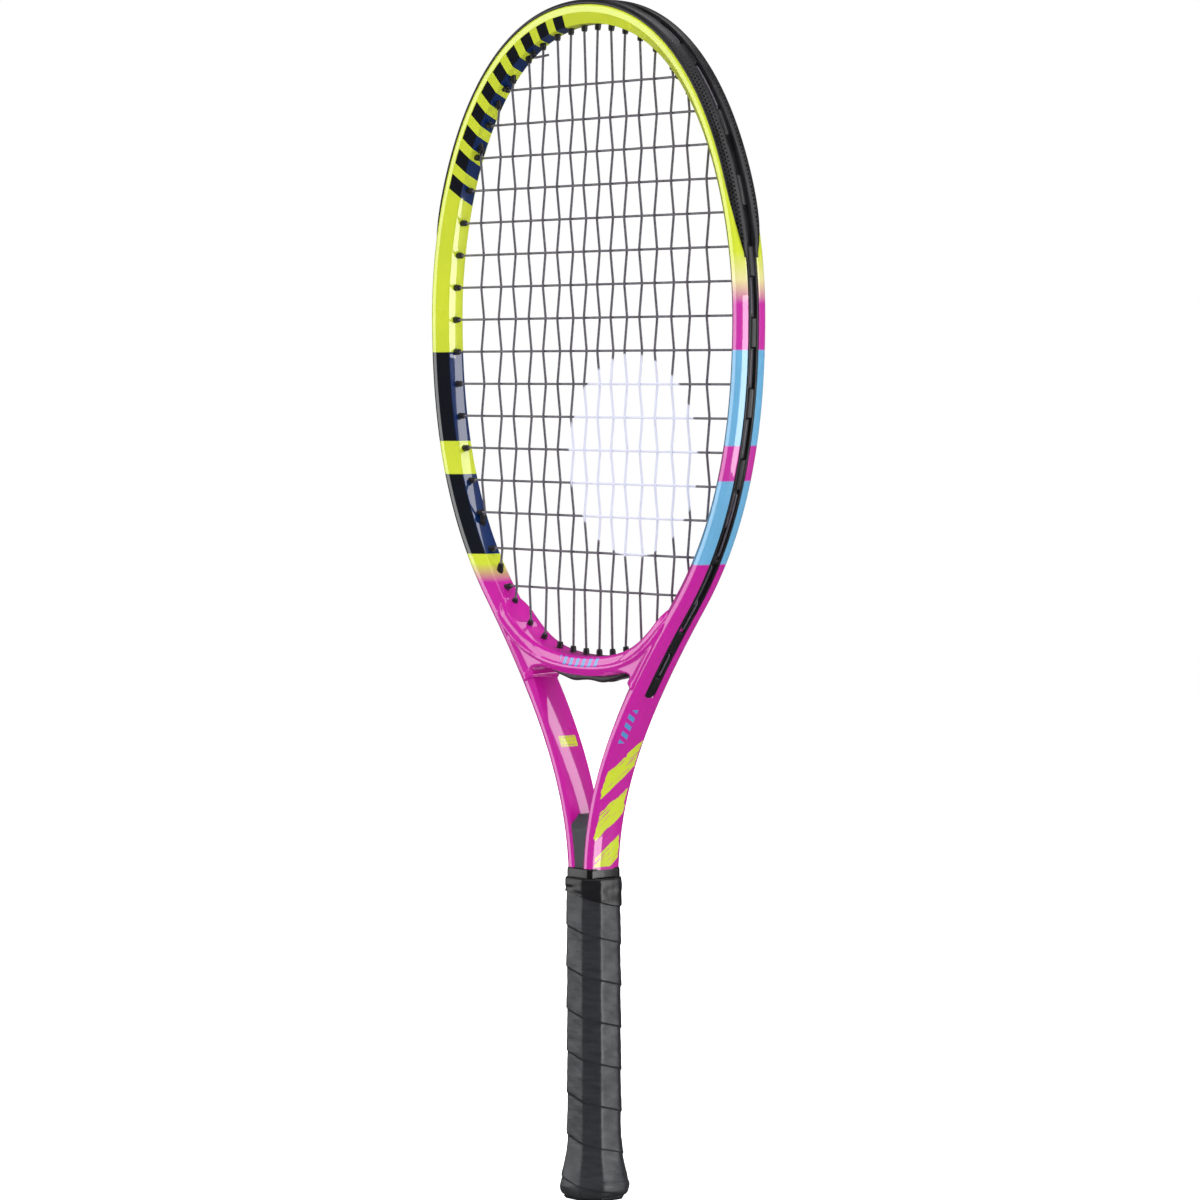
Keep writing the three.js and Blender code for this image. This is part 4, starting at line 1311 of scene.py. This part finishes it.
def dress_cad_nodes():
    """Pieces whose CAD shape is right keep it and get a material of their own."""
    cap = make_plain("cap_plastic", rgb(20, 20, 22), rgb(32, 32, 35), (0.4, 0.55), 800.0)
    foam = make_plain("handle_foam", rgb(58, 60, 64), rgb(78, 80, 84), (0.75, 0.9), 700.0, 0.0003)
    dull, bright = rgb(150, 150, 152), rgb(190, 190, 192)
    steel = make_plain("staple_steel", dull, bright, (0.25, 0.4), 500.0, metallic=1.0)
    choices = {"butt_cap": cap, "butt_cap_door": cap, "handle_pallet": foam}
    for name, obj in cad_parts.items():
        material = steel if "staple" in name else choices.get(name)
        if material is None:
            continue
        for slot in obj.material_slots:
            slot.material = material


# ---------- studio ----------
def away(azimuth, elevation):
    """A direction from the racket: azimuth 0 is in front of it and 90 on its +X side."""
    az, el = math.radians(azimuth), math.radians(elevation)
    return Vector((math.sin(az) * math.cos(el), -math.cos(az) * math.cos(el), math.sin(el)))


def soft_box(name, azimuth, elevation, distance, width, height, radiance, use):
    """A rectangular light; a fill is never seen in a reflection, and a card is seen only there."""
    light = bpy.data.lights.new(name, "AREA")
    light.shape = "RECTANGLE"
    light.size = width
    light.size_y = height
    light.energy = radiance * math.pi * width * height
    obj = add_object(name, light)
    direction = away(azimuth, elevation)
    obj.location = Vector(LIT_POINT) + direction * distance
    obj.rotation_euler = direction.to_track_quat("Z", "Y").to_euler()
    obj.visible_camera = False
    obj.visible_glossy = use != "fill"
    obj.visible_diffuse = use != "card"


def build_lights():
    for box in SOFT_BOXES:
        soft_box(*box)
    sun = bpy.data.lights.new("overhead", "SUN")
    sun.energy = SUN_ENERGY
    sun.angle = SUN_ANGLE
    add_object("overhead", sun).visible_glossy = False


def build_floor():
    """A large round sheet of pale paper: white to the camera, dimmer for what it throws on the racket."""
    bm = bmesh.new()
    bmesh.ops.create_circle(bm, cap_ends=True, segments=96, radius=FLOOR_RADIUS)
    mesh = bpy.data.meshes.new("floor")
    bm.to_mesh(mesh)
    bm.free()
    floor = add_object("floor", mesh)
    floor.location.z = FLOOR_Z * MM
    floor.visible_glossy = False
    floor.visible_shadow = False
    sh = Shader("floor_paper", {"Roughness": 0.9, "Specular IOR Level": 0.1, "Emission Color": (1, 1, 1, 1)})
    seen = sh.node("ShaderNodeLightPath").outputs["Is Camera Ray"]
    paper = sh.mix(sh.noise(3.0, 2.0), grey(0.9), grey(0.93))
    sh.feed(sh.shader.inputs["Base Color"], sh.mix(seen, grey(0.6), paper))
    sh.feed(sh.shader.inputs["Emission Strength"], sh.times(seen, 0.4))
    mesh.materials.append(sh.material)


def build_camera():
    back = away(CAMERA_AZIMUTH, CAMERA_ELEVATION)
    right = away(CAMERA_AZIMUTH + 90, 0)
    target = right * CAMERA_TARGET[0] + Vector((0, 0, CAMERA_TARGET[1]))
    data = bpy.data.cameras.new("camera")
    data.lens = CAMERA_LENS
    data.sensor_width = 36.0
    data.clip_end = 60.0
    camera = add_object("camera", data)
    place = Matrix.Translation(target + back * CAMERA_DISTANCE)
    look = (-back).to_track_quat("-Z", "Y").to_matrix().to_4x4()
    camera.matrix_world = place @ look @ Matrix.Rotation(-CAMERA_ROLL, 4, "Z")
    bpy.context.scene.camera = camera


def build_world():
    """White behind everything the camera sees, and a dim room for what lights the racket."""
    world = bpy.data.worlds.new("studio")
    world.use_nodes = True
    tree = world.node_tree
    seen = tree.nodes["Background"]
    room = tree.nodes.new("ShaderNodeBackground")
    for background, strength in ((seen, 1.0), (room, ROOM_STRENGTH)):
        background.inputs["Color"].default_value = (1, 1, 1, 1)
        background.inputs["Strength"].default_value = strength
    ray = tree.nodes.new("ShaderNodeLightPath")
    choose = tree.nodes.new("ShaderNodeMixShader")
    tree.links.new(ray.outputs["Is Camera Ray"], choose.inputs[0])
    tree.links.new(room.outputs[0], choose.inputs[1])
    tree.links.new(seen.outputs[0], choose.inputs[2])
    tree.links.new(choose.outputs[0], tree.nodes["World Output"].inputs["Surface"])
    bpy.context.scene.world = world


build_racket()
dress_cad_nodes()
build_floor()
build_world()
build_lights()
build_camera()
bpy.context.scene.view_settings.view_transform = "Standard"
